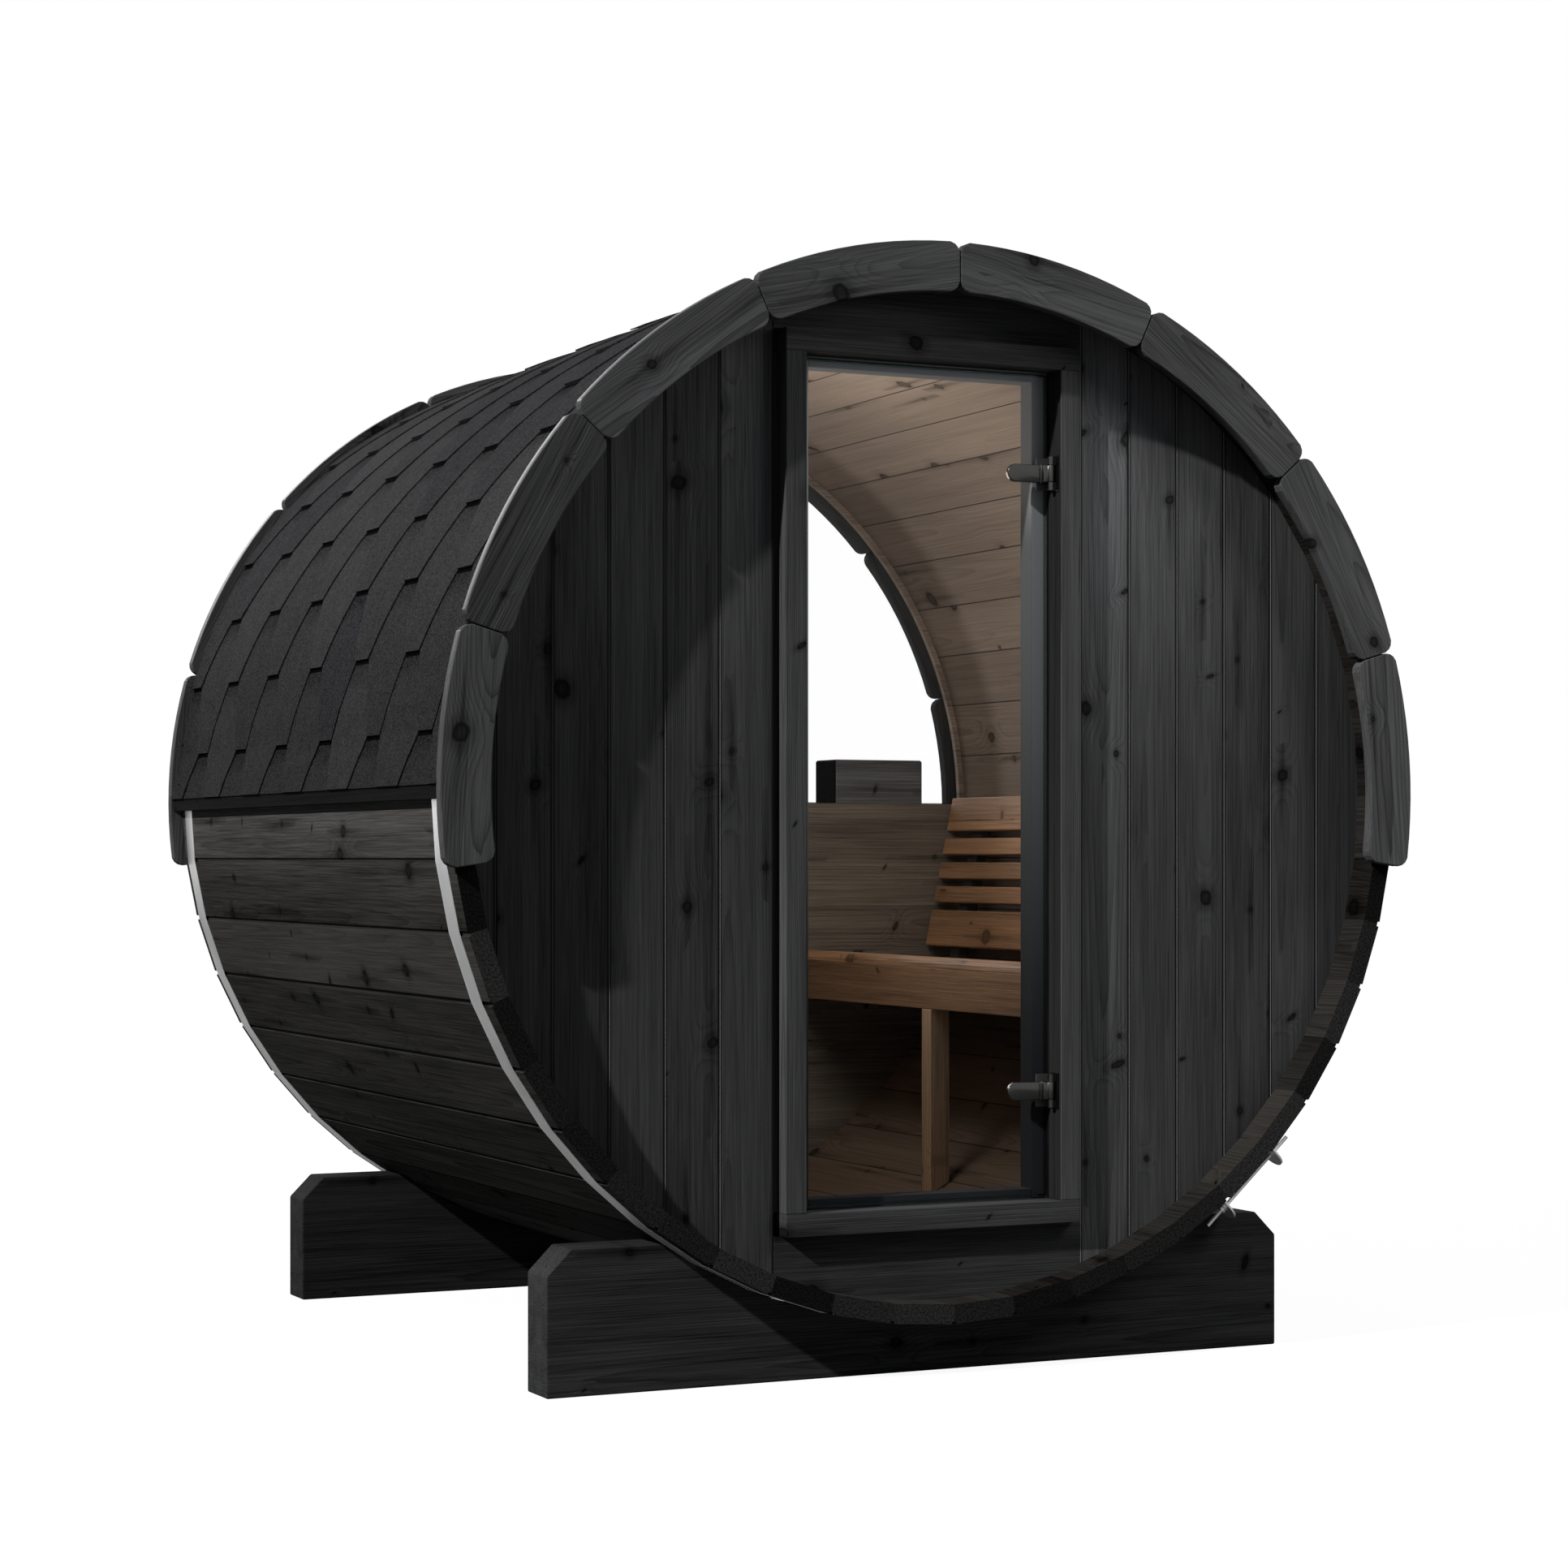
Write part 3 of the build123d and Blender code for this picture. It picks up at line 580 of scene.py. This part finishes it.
def staveFinish(name):
    f = newFinish(name)
    x, y, z = f.spot()
    side, out, board = aroundAxis(f, 0.0, staves["step"])
    wood = grain(f, y, side, out - 1.0, board + firstBoard["stave"])
    char = stain(f, wood, staves["light"], staves["dark"])
    calm = dict(wood, fibre=wood["fibre"] * 0.35 + 0.32, cloud=wood["cloud"] * 0.5 + 0.25,
                check=wood["check"] * 0.2, streak=wood["streak"] * 0.35 + 0.32)
    brown = stain(f, calm, lining["light"], lining["dark"], 0.22, 0.55)
    # painted shade on the lining, low in the room and towards the back wall
    far = f.smooth(y, *staves["shadeBehind"]) * 0.75
    deep = f.math("MAXIMUM", 1 - f.smooth(z, *staves["shadeUnder"]), far)
    brown = f.blend(deep, brown, stain(f, calm, staves["shadedLight"], staves["shadedDark"], 0.3))
    joint = f.math("ABSOLUTE", side) > barrelInner * math.tan(staves["step"] / 2) - staves["joint"]
    brown = f.blend(joint * 0.85, brown, staves["jointColour"])
    # painted shade on the inner faces in the recesses beyond the end walls
    thin = stain(f, wood, staves["recessShadeLight"], staves["recessShadeDark"], 0.9)
    inside = out < (barrelInner + staves["lining"])
    room = inside * (y > wallHigh.y - staves["croze"]) * (y < paneHigh.y)
    lowStaveShade = f.smooth(z, *staves["lowStaveShade"]) * 0.58 + 0.4  # painted shade: the lower staves are darker
    colour = f.blend(inside, f.tint(char, lowStaveShade), thin)
    colour = f.blend(room, colour, brown)
    rings = f.smooth(f.noise(f.vector(x * 230, y * 10, z * 230), 1.0, 4.0, 0.7), 0.25, 0.8)
    ends = f.math("ABSOLUTE", y) > halfLength - staves["end"]
    sawn = f.blend(rings, staves["sawnDark"], staves["sawnLight"])
    colour = f.blend(ends, colour, f.tint(sawn, wood["tone"] * 0.9 + 0.3))
    f.set(Base_Color=colour)
    sheen(f, wood, charcoal)
    relief(f, wood)
    return f


wallBoards = {
    "vee": 0.0042,
    "veeShadeColour": (0.003, 0.003, 0.003),
    # width of the painted highlight beside each joint
    "paintedLight": 0.0016,
    "highlightColour": (0.13, 0.13, 0.127),
    "paleBoard": 9.0,  # the one beside the hinges, paler in its own tone and with painted light that fills the trim's shadow
    "pale": 0.45,
    "litHeights": (1.0, 1.9),
    "rightLitHeights": (1.1, 1.9),
    "skin": 0.003,
}


def wallFinish(name, frameOf, paint, pitch=None, paintedLight=False):
    # stained outside, bare on the room side
    f = newFinish(name)
    u, v, w, board = frameOf(f)
    wood = grain(f, u, v, w, board, wave=0.01, tilt=0.02)
    x, y, z = f.spot()
    char = stain(f, wood, charcoal["light"], charcoal["dark"], 0.45, 0.5)
    # painted light: the boards grow paler towards the top
    litTone = f.smooth(z, *wallBoards["litHeights"]) * 0.3 + 0.86
    if paintedLight:
        # painted light makes the boards right of the door paler, most of all high up; the board beside the
        # hinges is paler still
        rightSide = (f.smooth(z, *wallBoards["rightLitHeights"]) * 0.4 + 0.08) * (x > 0.0)
        litTone = litTone * (rightSide + 1.0)
        beside = f.math("COMPARE", board, wallBoards["paleBoard"], 0.5)
        litTone = litTone * (beside * wallBoards["pale"] + 1.0)
    char = f.tint(char, litTone)
    if pitch:
        # painted shade in the V grooves between boards
        joint = f.math("ABSOLUTE", v) > pitch / 2 - wallBoards["vee"]
        char = f.blend(joint * 0.75, char, wallBoards["veeShadeColour"])
    if paintedLight:
        # painted highlight along one side of each joint, where the sun catches the eased edge
        char = f.blend((v < wallBoards["paintedLight"] - pitch / 2) * 0.9, char, wallBoards["highlightColour"])
    brown = stain(f, wood, paint["light"], paint["dark"], 0.3)
    room = (y > wallHigh.y - wallBoards["skin"]) * (y < backWallHigh.y - wallBoards["skin"])
    f.set(Base_Color=f.blend(room, char, brown))
    sheen(f, wood, charcoal)
    relief(f, wood)
    return f


# metal, glass, rubber
def steelFinish(name, colour, rough, brush, coat=0.0):
    f = newFinish(name)
    x, y, z = f.spot()
    streak = f.noise(f.vector(x * brush[0], y * brush[1], z * brush[2]), 1.0, 3.0)
    smear = f.noise(f.vector(x * 9, y * 9, z * 9), 1.0, 3.0)
    tone = streak * 0.24 + smear * 0.2 + 0.78
    f.set(Base_Color=f.tint(colour, tone), Metallic=1.0)
    f.set(Roughness=smear * 0.16 + streak * 0.1 + rough - 0.1, Coat_Weight=coat, Coat_Roughness=0.15)
    f.bump(streak, 0.2, 0.0003)
    return f


pane = {
    "colour": (0.86, 0.93, 1.0),
    "edge": 0.004,
    "edgeColour": (0.03, 0.045, 0.042),
    "edgeAlpha": 0.6,
    "along": 0.5,
    "rise": (1.0, 2.1),
}


def glassFinish(name, node, low, high):
    # a thin mirror film that lets nearly all light through and shows more of the sky towards its top
    f = newFinish(name)
    x, y, z = f.spot()
    film = f.noise(f.vector(x * 3, y * 3, z * 3), 1.0, 4.0)
    rise = f.smooth(z, *pane["rise"])
    facing = f.node("ShaderNodeLayerWeight", {}, {"Blend": 0.5}, "Facing")
    corner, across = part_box(node)
    middle, reach = (corner + across) / 2, (across - corner) / 2
    rim = f.math("ABSOLUTE", x - middle.x) > reach.x - pane["edge"]
    rim = f.math("MAXIMUM", rim, f.math("ABSOLUTE", z - middle.z) > reach.z - pane["edge"])
    clear = (rise * (high - low) + low) * (film * 0.5 + 0.75) + facing ** 4 * pane["along"]
    f.set(Base_Color=f.blend(rim, pane["colour"], pane["edgeColour"]), Metallic=1.0, Roughness=0.02)
    f.set(Alpha=f.math("MAXIMUM", clear, rim * pane["edgeAlpha"]))
    f.owner.surface_render_method = "BLENDED"
    return f


def padFinish():
    f = newFinish("padRubber")
    x, y, z = f.spot()
    speck = f.noise(f.vector(x * 700, y * 700, z * 700), 1.0, 2.0)
    f.set(Base_Color=f.blend(speck, (0.008, 0.008, 0.008), (0.02, 0.02, 0.02)), Roughness=speck * 0.2 + 0.6)
    f.bump(speck, 0.3, 0.0003)
    return f


# hexagon shingles
shingles = {
    "pitch": 0.2974,  # tab spacing along the barrel
    "foot": 0.080,  # width of a tab's lower edge
    "rise": 0.154,  # course to course
    "thick": 0.0030,
    "lap": 0.034,
    "firstCourse": 0.102,  # lower edge of the first whole course above the eave
    "firstTab": 0.1255,  # middle of one of its tabs behind the stave ends
    "courses": 10,
    "curl": 0.0012,
    "curlRun": 0.08,
    "clear": 0.0012,
    "thinRun": 0.3,  # the lowest courses lie thin up to here, over the eave
    "thinLeast": 0.35,
    "bends": 13,
    "sheetBends": 120,
    "sheetThick": 0.001,
    "sheetTone": 0.3,
    "trim": 0.001,
    "seed": 7,
    "light": (0.0206, 0.0203, 0.0202),
    "dark": (0.0186, 0.0186, 0.02),
    "gap": 0.0085,
    "shingleLitHeights": (1.12, 1.7),
}
roofSheet = 0.006
roofShape = {
    "inner": roofHigh.z - axisHeight - roofSheet,
    "kick": math.radians(12.0),
    "eave": roofLow.z - axisHeight,
    "battenHigh": 0.03,
    "hollow": 0.0045,
    "hollowSpan": 0.14,
}


def ontoRoof(run, out):
    # a distance up from the eave and a height over the boards, as a place on the right half of the roof
    inner, kick = roofShape["inner"], roofShape["kick"]
    straight = (inner * math.sin(kick) - roofShape["eave"]) / math.cos(kick)
    if run < straight:
        back = straight - run
        share = min(1.0, max(0.0, run - roofShape["battenHigh"]) / roofShape["hollowSpan"])
        out = out - roofShape["hollow"] * math.sin(math.pi * share) ** 2  # sag above the eave's batten
        x = inner * math.cos(kick) + back * math.sin(kick) + out * math.cos(kick)
        z = inner * math.sin(kick) - back * math.cos(kick) + out * math.sin(kick)
        return x, axisHeight + z
    turn = kick + (run - straight) / inner
    return (inner + out) * math.cos(turn), axisHeight + (inner + out) * math.sin(turn)


def roofRun():
    inner, kick = roofShape["inner"], roofShape["kick"]
    return (inner * math.sin(kick) - roofShape["eave"]) / math.cos(kick) + (math.pi / 2 - kick) * inner


def cutAt(shape, place, normal, clear=True):
    everything = shape.verts[:] + shape.edges[:] + shape.faces[:]
    bmesh.ops.bisect_plane(shape, geom=everything, plane_co=place, plane_no=normal, clear_outer=clear)


def courseStrip(course, chance):
    # one course laid flat: x is the run up the roof, y lies along the barrel
    s = shingles
    shape = bmesh.new()
    tone = shape.faces.layers.float.new("tone")
    half, foot = s["pitch"] / 2, s["foot"] / 2
    wide = half - foot
    top = 2 * s["rise"] + s["lap"]
    rightSide = [(0, foot), (s["rise"], wide), (s["rise"], half), (top, half)]
    outline = [(0, -foot)] + rightSide + [(x, -y) for x, y in rightSide[:0:-1]]
    tab = shape.faces.new([shape.verts.new((x, y, 0)) for x, y in outline])
    tabs = [tab]
    count = int(2 * halfLength / s["pitch"]) + 3
    for place in range(1, count):
        copy = bmesh.ops.duplicate(shape, geom=[tab] + tab.edges[:] + tab.verts[:])["geom"]
        moved = [part for part in copy if isinstance(part, bmesh.types.BMVert)]
        bmesh.ops.translate(shape, verts=moved, vec=(0, place * s["pitch"], 0))
        tabs += [part for part in copy if isinstance(part, bmesh.types.BMFace)]
    for face in tabs:
        face[tone] = chance.random()
    bmesh.ops.remove_doubles(shape, verts=shape.verts[:], dist=1e-5)
    shift = s["firstTab"] - halfLength + (0 if course % 2 else half) - s["pitch"]
    start = s["firstCourse"] + (course - 1) * s["rise"]
    bmesh.ops.translate(shape, verts=shape.verts[:], vec=(start, shift, 0))
    for bend in range(1, s["bends"]):
        cutAt(shape, (start + bend * top / s["bends"], 0, 0), (1, 0, 0), False)
    cutAt(shape, (0, halfLength - s["trim"], 0), (0, 1, 0))
    cutAt(shape, (0, -halfLength + s["trim"], 0), (0, -1, 0))
    cutAt(shape, (0.0, 0, 0), (-1, 0, 0))
    cutAt(shape, (roofRun() - s["trim"], 0, 0), (1, 0, 0))
    return shape


def underlay():
    # the starter sheet under all courses, flat
    s = shingles
    shape = bmesh.new()
    tone = shape.faces.layers.float.new("tone")
    wide, high = halfLength - s["trim"], roofRun() - s["trim"]
    corners = ((0, -wide, 0), (high, -wide, 0), (high, wide, 0), (0, wide, 0))
    sheet = shape.faces.new([shape.verts.new(corner) for corner in corners])
    sheet[tone] = s["sheetTone"]
    for bend in range(1, s["sheetBends"]):
        cutAt(shape, (bend * high / s["sheetBends"], 0, 0), (1, 0, 0), False)
    return shape


def joinInto(whole, part):
    mesh = bpy.data.meshes.new("part")
    part.to_mesh(mesh)
    part.free()
    whole.from_mesh(mesh)
    bpy.data.meshes.remove(mesh)


def shingleHalf(name, side, node, finish):
    s = shingles
    chance = random.Random(s["seed"] + side)
    whole = bmesh.new()
    top = 2 * s["rise"] + s["lap"]
    lift = s["thick"] * top / s["rise"]
    whole.loops.layers.uv.new("courses")
    whole.faces.layers.float.new("tone")
    for course in range(-1, s["courses"] + 1):
        strip = courseStrip(course, chance) if course >= 0 else underlay()
        start = s["firstCourse"] + (course - 1) * s["rise"] if course >= 0 else 0.0
        bmesh.ops.recalc_face_normals(strip, faces=strip.faces[:])
        if strip.faces and strip.faces[:][0].normal.z < 0:
            bmesh.ops.reverse_faces(strip, faces=strip.faces[:])
        thick = s["thick"] if course >= 0 else s["sheetThick"]
        bmesh.ops.solidify(strip, geom=strip.faces[:], thickness=thick)
        uv = strip.loops.layers.uv.new("courses")
        foot = start if course >= 0 else s["firstCourse"] - 2 * s["rise"]
        for face in strip.faces:
            for loop in face.loops:
                loop[uv].uv = (loop.vert.co.y, loop.vert.co.x - foot)
        for vert in strip.verts:
            run = vert.co.x
            share = (run - start) / top
            eased = min(1.0, max(0.0, run) / s["thinRun"])
            low = lift * (1 - share) * (s["thinLeast"] + (1 - s["thinLeast"]) * eased)
            curl = s["curl"] * max(0.0, 1 - (run - start) / s["curlRun"]) * chance.random()
            x, z = ontoRoof(run, s["clear"] + low + curl + vert.co.z if course >= 0 else vert.co.z)
            vert.co = (side * x, vert.co.y, z)
        if side < 0:
            bmesh.ops.reverse_faces(strip, faces=strip.faces[:])
        joinInto(whole, strip)
    made = finished(name, whole)
    dress(made, finish)
    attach(made, "cabin")
    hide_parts(node)


def shingleFinish():
    f = newFinish("shingle")
    x, y, z = f.spot()
    course = f.node("ShaderNodeUVMap", {"uv_map": "courses"})
    run = f.node("ShaderNodeSeparateXYZ", {}, {0: course}, "Y")
    tone = f.node("ShaderNodeAttribute", {"attribute_name": "tone"}, {}, "Fac")
    place = f.vector(x, y, z)
    granule = f.noise(place, 235.0, 2.0, 0.8)
    patch = f.noise(place, 34.0, 3.0)
    # printed shadow band below each tab's foot, deepened with painted shade of the recess two layers down
    band = f.smooth(run, shingles["rise"] * 1.55, shingles["rise"] * 2.0)
    shade = granule * 4.0 + patch * 0.5 + tone * 0.3 - 1.36 - band * 0.42
    shade = shade * (1 - (run > shingles["rise"] * 2 - shingles["gap"]) * 0.9)  # painted shadow under each tab's foot
    shade = shade * (f.smooth(z, *shingles["shingleLitHeights"]) * 0.3 + 0.7)  # painted light: the upper courses are lighter, the lower ones darker
    colour = f.blend(tone, shingles["dark"], shingles["light"])
    colour = f.tint(colour, shade)
    f.set(Base_Color=colour, Roughness=granule * 0.2 + 0.7, Specular_IOR_Level=charcoal["gloss"])
    f.bump(granule, 0.6, 0.0012)
    return f


# eased edges of the CAD nodes
easing = {
    "front_fascia": 0.0022, "back_fascia": 0.0022, "front_cradle": 0.003, "back_cradle": 0.003,
    "front_wall_left": 0.0012, "front_wall_right": 0.0012,
    "front_wall_header": 0.0012, "front_wall_threshold": 0.0012,
    "door_frame_left": 0.0015, "door_frame_right": 0.0015,
    "door_frame_head": 0.0015, "door_frame_sill": 0.0015,
    "back_wall": 0.0012, "sill_block": 0.004, "window_sill": 0.003,
    "right_bench_seat": 0.003, "left_bench_seat": 0.003, "right_backrest": 0.003, "left_backrest": 0.003,
    "right_bench_frame": 0.002, "left_bench_frame": 0.002,
}
sharpAngle = math.radians(28)
weldReach = 0.00002
clampEdge = 0.0016


def ease(node, width):
    weld = node.modifiers.new("weld", "WELD")
    weld.merge_threshold = weldReach
    rounded = node.modifiers.new("ease", "BEVEL")
    rounded.width, rounded.segments, rounded.limit_method = width, 2, "ANGLE"
    rounded.angle_limit = sharpAngle


def roundEdges(shape, edges, width, segments):
    bmesh.ops.bevel(shape, geom=edges, offset=width, offset_type="OFFSET", affect="EDGES", segments=segments,
                    profile=0.5, material=-1)


# bands and hinge leaves, shaded round
def smoothCopy(name, node, body, finish, width=0.0):
    shape = bmesh.new()
    shape.from_mesh(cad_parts[node].data)
    bmesh.ops.remove_doubles(shape, verts=shape.verts[:], dist=1e-5)
    bmesh.ops.dissolve_limit(shape, angle_limit=math.radians(1), verts=shape.verts[:], edges=shape.edges[:])
    bmesh.ops.recalc_face_normals(shape, faces=shape.faces[:])
    sharp = [edge for edge in shape.edges if edge.calc_face_angle(0) > sharpAngle]
    if width:
        roundEdges(shape, sharp, width, 3)
    else:
        for edge in sharp:
            edge.smooth = False
    made = finished(name, shape, True)
    dress(made, finish)
    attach(made, body)
    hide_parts(node)


# threaded rods that draw the bands together
rods = {
    "radius": 0.004,
    "root": 0.0034,
    "pitch": 0.0019,
    "length": 0.2568,
    "steps": 14,
    "nut": 0.0127,
    "nutHigh": 0.0064,
    "nutEdge": 0.0009,
    "lugs": 0.0787,  # from the rod's middle to a nut's seat
    "clear": 0.0002,
}


def threadedRods(finish):
    low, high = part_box("band_rods")
    middle = (low + high) / 2
    turn = math.atan2(middle.z - axisHeight, middle.x)
    corner = rods["nut"] / 2 / math.cos(math.pi / 6)  # half a nut over its corners
    inset = corner + rods["clear"]
    shape = bmesh.new()
    teeth = int(rods["length"] / rods["pitch"])
    line = []
    for tooth in range(2 * teeth + 1):
        out = rods["radius"] if tooth % 2 else rods["root"]
        line.append(shape.verts.new((out, 0, (tooth / (2 * teeth) - 0.5) * rods["length"])))
    edges = [shape.edges.new(pair) for pair in zip(line, line[1:])]
    bmesh.ops.spin(shape, geom=line + edges, cent=(0, 0, 0), axis=(0, 0, 1), angle=2 * math.pi,
                   steps=rods["steps"], use_merge=True)
    bmesh.ops.holes_fill(shape, edges=[edge for edge in shape.edges if edge.is_boundary], sides=0)
    for side in (-1, 1):
        along = side * (rods["lugs"] + rods["nutHigh"] / 2)
        nut = bmesh.ops.create_cone(shape, cap_ends=True, segments=6, radius1=corner, radius2=corner,
                                    depth=rods["nutHigh"], matrix=Matrix.Translation((0, 0, along)))["verts"]
        rims = [edge for edge in shape.edges
                if edge.verts[0] in nut and abs(edge.verts[0].co.z - edge.verts[1].co.z) < 1e-6]
        roundEdges(shape, rims, rods["nutEdge"], 2)
    bmesh.ops.recalc_face_normals(shape, faces=shape.faces[:])
    # the rod's own z becomes the direction along the barrel's rim
    aim = Matrix.Rotation(-turn, 4, "Y")
    bmesh.ops.transform(shape, matrix=aim, verts=shape.verts[:])
    bmesh.ops.translate(shape, verts=shape.verts[:], vec=(middle.x, low.y + inset, middle.z))
    copy = bmesh.ops.duplicate(shape, geom=shape.verts[:] + shape.edges[:] + shape.faces[:])["geom"]
    bmesh.ops.translate(shape, verts=[part for part in copy if isinstance(part, bmesh.types.BMVert)],
                        vec=(0, high.y - low.y - 2 * inset, 0))
    made = finished("threadedRods", shape)
    dress(made, finish)
    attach(made, "cabin")
    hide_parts("band_rods")


# caps over the ridge, where the two halves of the roof meet
ridge = {"count": 8, "lap": 0.05, "half": 0.115, "bends": 10, "lift": 0.0115, "thick": 0.003, "slope": 1.1}


def ridgeCaps(finish):
    whole = bmesh.new()
    whole.loops.layers.uv.new("courses")
    whole.faces.layers.float.new("tone")
    chance = random.Random(shingles["seed"])
    radius = roofShape["inner"] + ridge["lift"]
    reach = halfLength - shingles["trim"]
    step = 2 * reach / ridge["count"]
    for place in range(ridge["count"]):
        cap = bmesh.new()
        tone = cap.faces.layers.float.new("tone")
        start = place * step - reach
        end = min(start + step + ridge["lap"], reach)
        half = ridge["half"]
        corners = ((-half, start, 0), (half, start, 0), (half, end, 0), (-half, end, 0))
        sheet = cap.faces.new([cap.verts.new(corner) for corner in corners])
        sheet[tone] = chance.random()
        for bend in range(1, ridge["bends"]):
            cutAt(cap, ((2 * bend / ridge["bends"] - 1) * half, 0, 0), (1, 0, 0), False)
        bmesh.ops.solidify(cap, geom=cap.faces[:], thickness=ridge["thick"])
        uv = cap.loops.layers.uv.new("courses")
        for face in cap.faces:
            for loop in face.loops:
                loop[uv].uv = (loop.vert.co.x, loop.vert.co.y - start)
        for vert in cap.verts:
            share = (end - vert.co.y) / (end - start)
            out = radius + vert.co.z + ridge["thick"] * ridge["slope"] * (1 - share)
            turn = vert.co.x / radius
            vert.co = (out * math.sin(turn), vert.co.y, axisHeight + out * math.cos(turn))
        bmesh.ops.recalc_face_normals(cap, faces=cap.faces[:])
        joinInto(whole, cap)
    made = finished("ridgeCaps", whole)
    dress(made, finish)
    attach(made, "cabin")


# tongues that close the joints of the back wall's boards
tongues = {"pitch": sideBoard["pitch"], "high": 0.014, "thick": 0.006, "shy": 0.012}


def wallTongues(finish):
    shape = bmesh.new()
    radius = backWallHigh.x - tongues["shy"]
    middle = (backWallLow.y + backWallHigh.y) / 2
    z = backWallHigh.z - tongues["pitch"]
    while z > axisHeight - radius + tongues["pitch"] / 2:
        half = math.sqrt(radius ** 2 - (abs(z - axisHeight) + tongues["high"] / 2) ** 2)
        strip = bmesh.ops.create_cube(shape, size=1.0)["verts"]
        bmesh.ops.scale(shape, vec=(2 * half, tongues["thick"], tongues["high"]), verts=strip)
        bmesh.ops.translate(shape, vec=(0, middle, z), verts=strip)
        z -= tongues["pitch"]
    made = finished("wallTongues", shape)
    dress(made, finish)
    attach(made, "cabin")


# rounded nosing along the front of each bench
nosing = {"high": 0.024, "deep": 0.034, "round": 0.02}


def benchNosing(name, side, finish):
    shape = bmesh.new()
    box = bmesh.ops.create_cube(shape, size=1.0)["verts"]
    long = seatHigh.y - seatLow.y
    bmesh.ops.scale(shape, vec=(nosing["deep"], long, nosing["high"]), verts=box)
    front = [edge for edge in shape.edges
             if all(vert.co.x < 0 and vert.co.z > 0 for vert in edge.verts)]
    roundEdges(shape, front, nosing["round"], 4)
    along = (seatLow.y + seatHigh.y) / 2
    place = (apronLow.x + nosing["deep"] / 2, along, seatHigh.z + nosing["high"] / 2)
    bmesh.ops.translate(shape, vec=place, verts=shape.verts[:])
    if side < 0:
        bmesh.ops.scale(shape, vec=(-1, 1, 1), verts=shape.verts[:])
    bmesh.ops.recalc_face_normals(shape, faces=shape.faces[:])
    made = finished(name, shape)
    dress(made, finish)
    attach(made, "cabin")


setCamera()
setStage()
print("camera, floor and light set")

# finishes on the CAD nodes
uprightChar = wallFinish("uprightChar", uprightBoards, toasted, pitch=boardPitch, paintedLight=True)
levelChar = wallFinish("levelChar", levelBoards, toasted)
postChar = frameFinish("postChar", upPosts, tint=1.1, sunny=rightStopLow.x)
railChar = frameFinish("railChar", levelBoards, tint=1.0)
fasciaRim = fasciaHigh.z - axisHeight - fasciaBoards["planed"]
fasciaChar = charFinish("fasciaChar", fasciaFrame, tint=1.28, rim=fasciaRim,
                        ring=0.0034, wave=0.022, tilt=0.06)
cradleChar = charFinish("cradleChar", levelBoards, tint=0.82)
# painted shade: the back cradle is a darker copy of the front cradle's finish
shadedRearCradleChar = charFinish("shadedRearCradleChar", levelBoards, tint=0.52)
blockChar = blockFinish("blockChar")
# painted shade: the battens are tinted near black under the shingles
shadedBattenChar = charFinish("shadedBattenChar", alongBoards, tint=0.16)
staveWood = staveFinish("staveWood")
backWallWood = wallFinish("backWallWood", sideBoards, toasted, pitch=sideBoard["pitch"])
sillWood = warmFinish("sillWood", levelBoards, toasted)
slatWood = warmFinish("slatWood", alongBoards)
frameWood = benchFrameFinish("frameWood")
backrestWood = backrestFinish("backrestWood")
beadWood = warmFinish("beadWood", levelBoards, lining)
strapSteel = steelFinish("strapSteel", colour=(0.83, 0.83, 0.83), rough=0.36, brush=(20, 900, 20))
hingeSteel = steelFinish("hingeSteel", colour=(0.036, 0.0355, 0.034), rough=0.3, brush=(15, 15, 900),
                         coat=0.6)
rodSteel = steelFinish("rodSteel", colour=(0.8, 0.81, 0.82), rough=0.3, brush=(60, 60, 60))
rubber = padFinish()
doorGlass = glassFinish("doorGlass", "door_glass", low=0.0006, high=0.006)
windowGlass = glassFinish("windowGlass", "back_window", low=0.004, high=0.007)

finishes = {
    "front_wall_left": uprightChar, "front_wall_right": uprightChar,
    "front_wall_header": levelChar, "front_wall_threshold": levelChar,
    "door_frame_left": postChar, "door_frame_right": postChar,
    "door_frame_head": railChar, "door_frame_sill": railChar,
    "front_fascia": fasciaChar, "back_fascia": fasciaChar,
    "front_cradle": cradleChar, "back_cradle": shadedRearCradleChar,
    "eave_batten_left": shadedBattenChar, "eave_batten_right": shadedBattenChar,
    "back_wall": backWallWood, "window_sill": sillWood, "window_bead": beadWood, "sill_block": blockChar,
    "right_bench_seat": slatWood, "left_bench_seat": slatWood,
    "right_backrest": backrestWood, "left_backrest": backrestWood,
    "right_bench_frame": frameWood, "left_bench_frame": frameWood,
    "front_band": strapSteel, "back_band": strapSteel, "band_rods": rodSteel,
    "upper_hinge_leaf": hingeSteel, "lower_hinge_leaf": hingeSteel,
    "upper_hinge_bracket": hingeSteel, "lower_hinge_bracket": hingeSteel,
    "door_hinge_pads": rubber, "door_glass": doorGlass, "back_window": windowGlass,
}
for name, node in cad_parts.items():
    dress(node, staveWood if name.startswith("staves") else finishes.get(name, railChar))
    if name in easing:
        ease(node, easing[name])
print("finishes on", len(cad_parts), "nodes")

granules = shingleFinish()
shingleHalf("shinglesRight", 1, "roof_right", granules)
shingleHalf("shinglesLeft", -1, "roof_left", granules)
ridgeCaps(granules)
print("shingles laid")
benchNosing("rightNosing", 1, slatWood)
benchNosing("leftNosing", -1, slatWood)
wallTongues(backWallWood)
print("bench nosings rounded, wall joints closed")
threadedRods(rodSteel)
smoothCopy("frontStrap", "front_band", "cabin", strapSteel)
smoothCopy("backStrap", "back_band", "cabin", strapSteel)
for level in ("upper", "lower"):
    smoothCopy(level + "Clamp", level + "_hinge_leaf", "door", hingeSteel, clampEdge)
print("rods and nuts turned")

bpy.context.scene.view_settings.view_transform = "Standard"
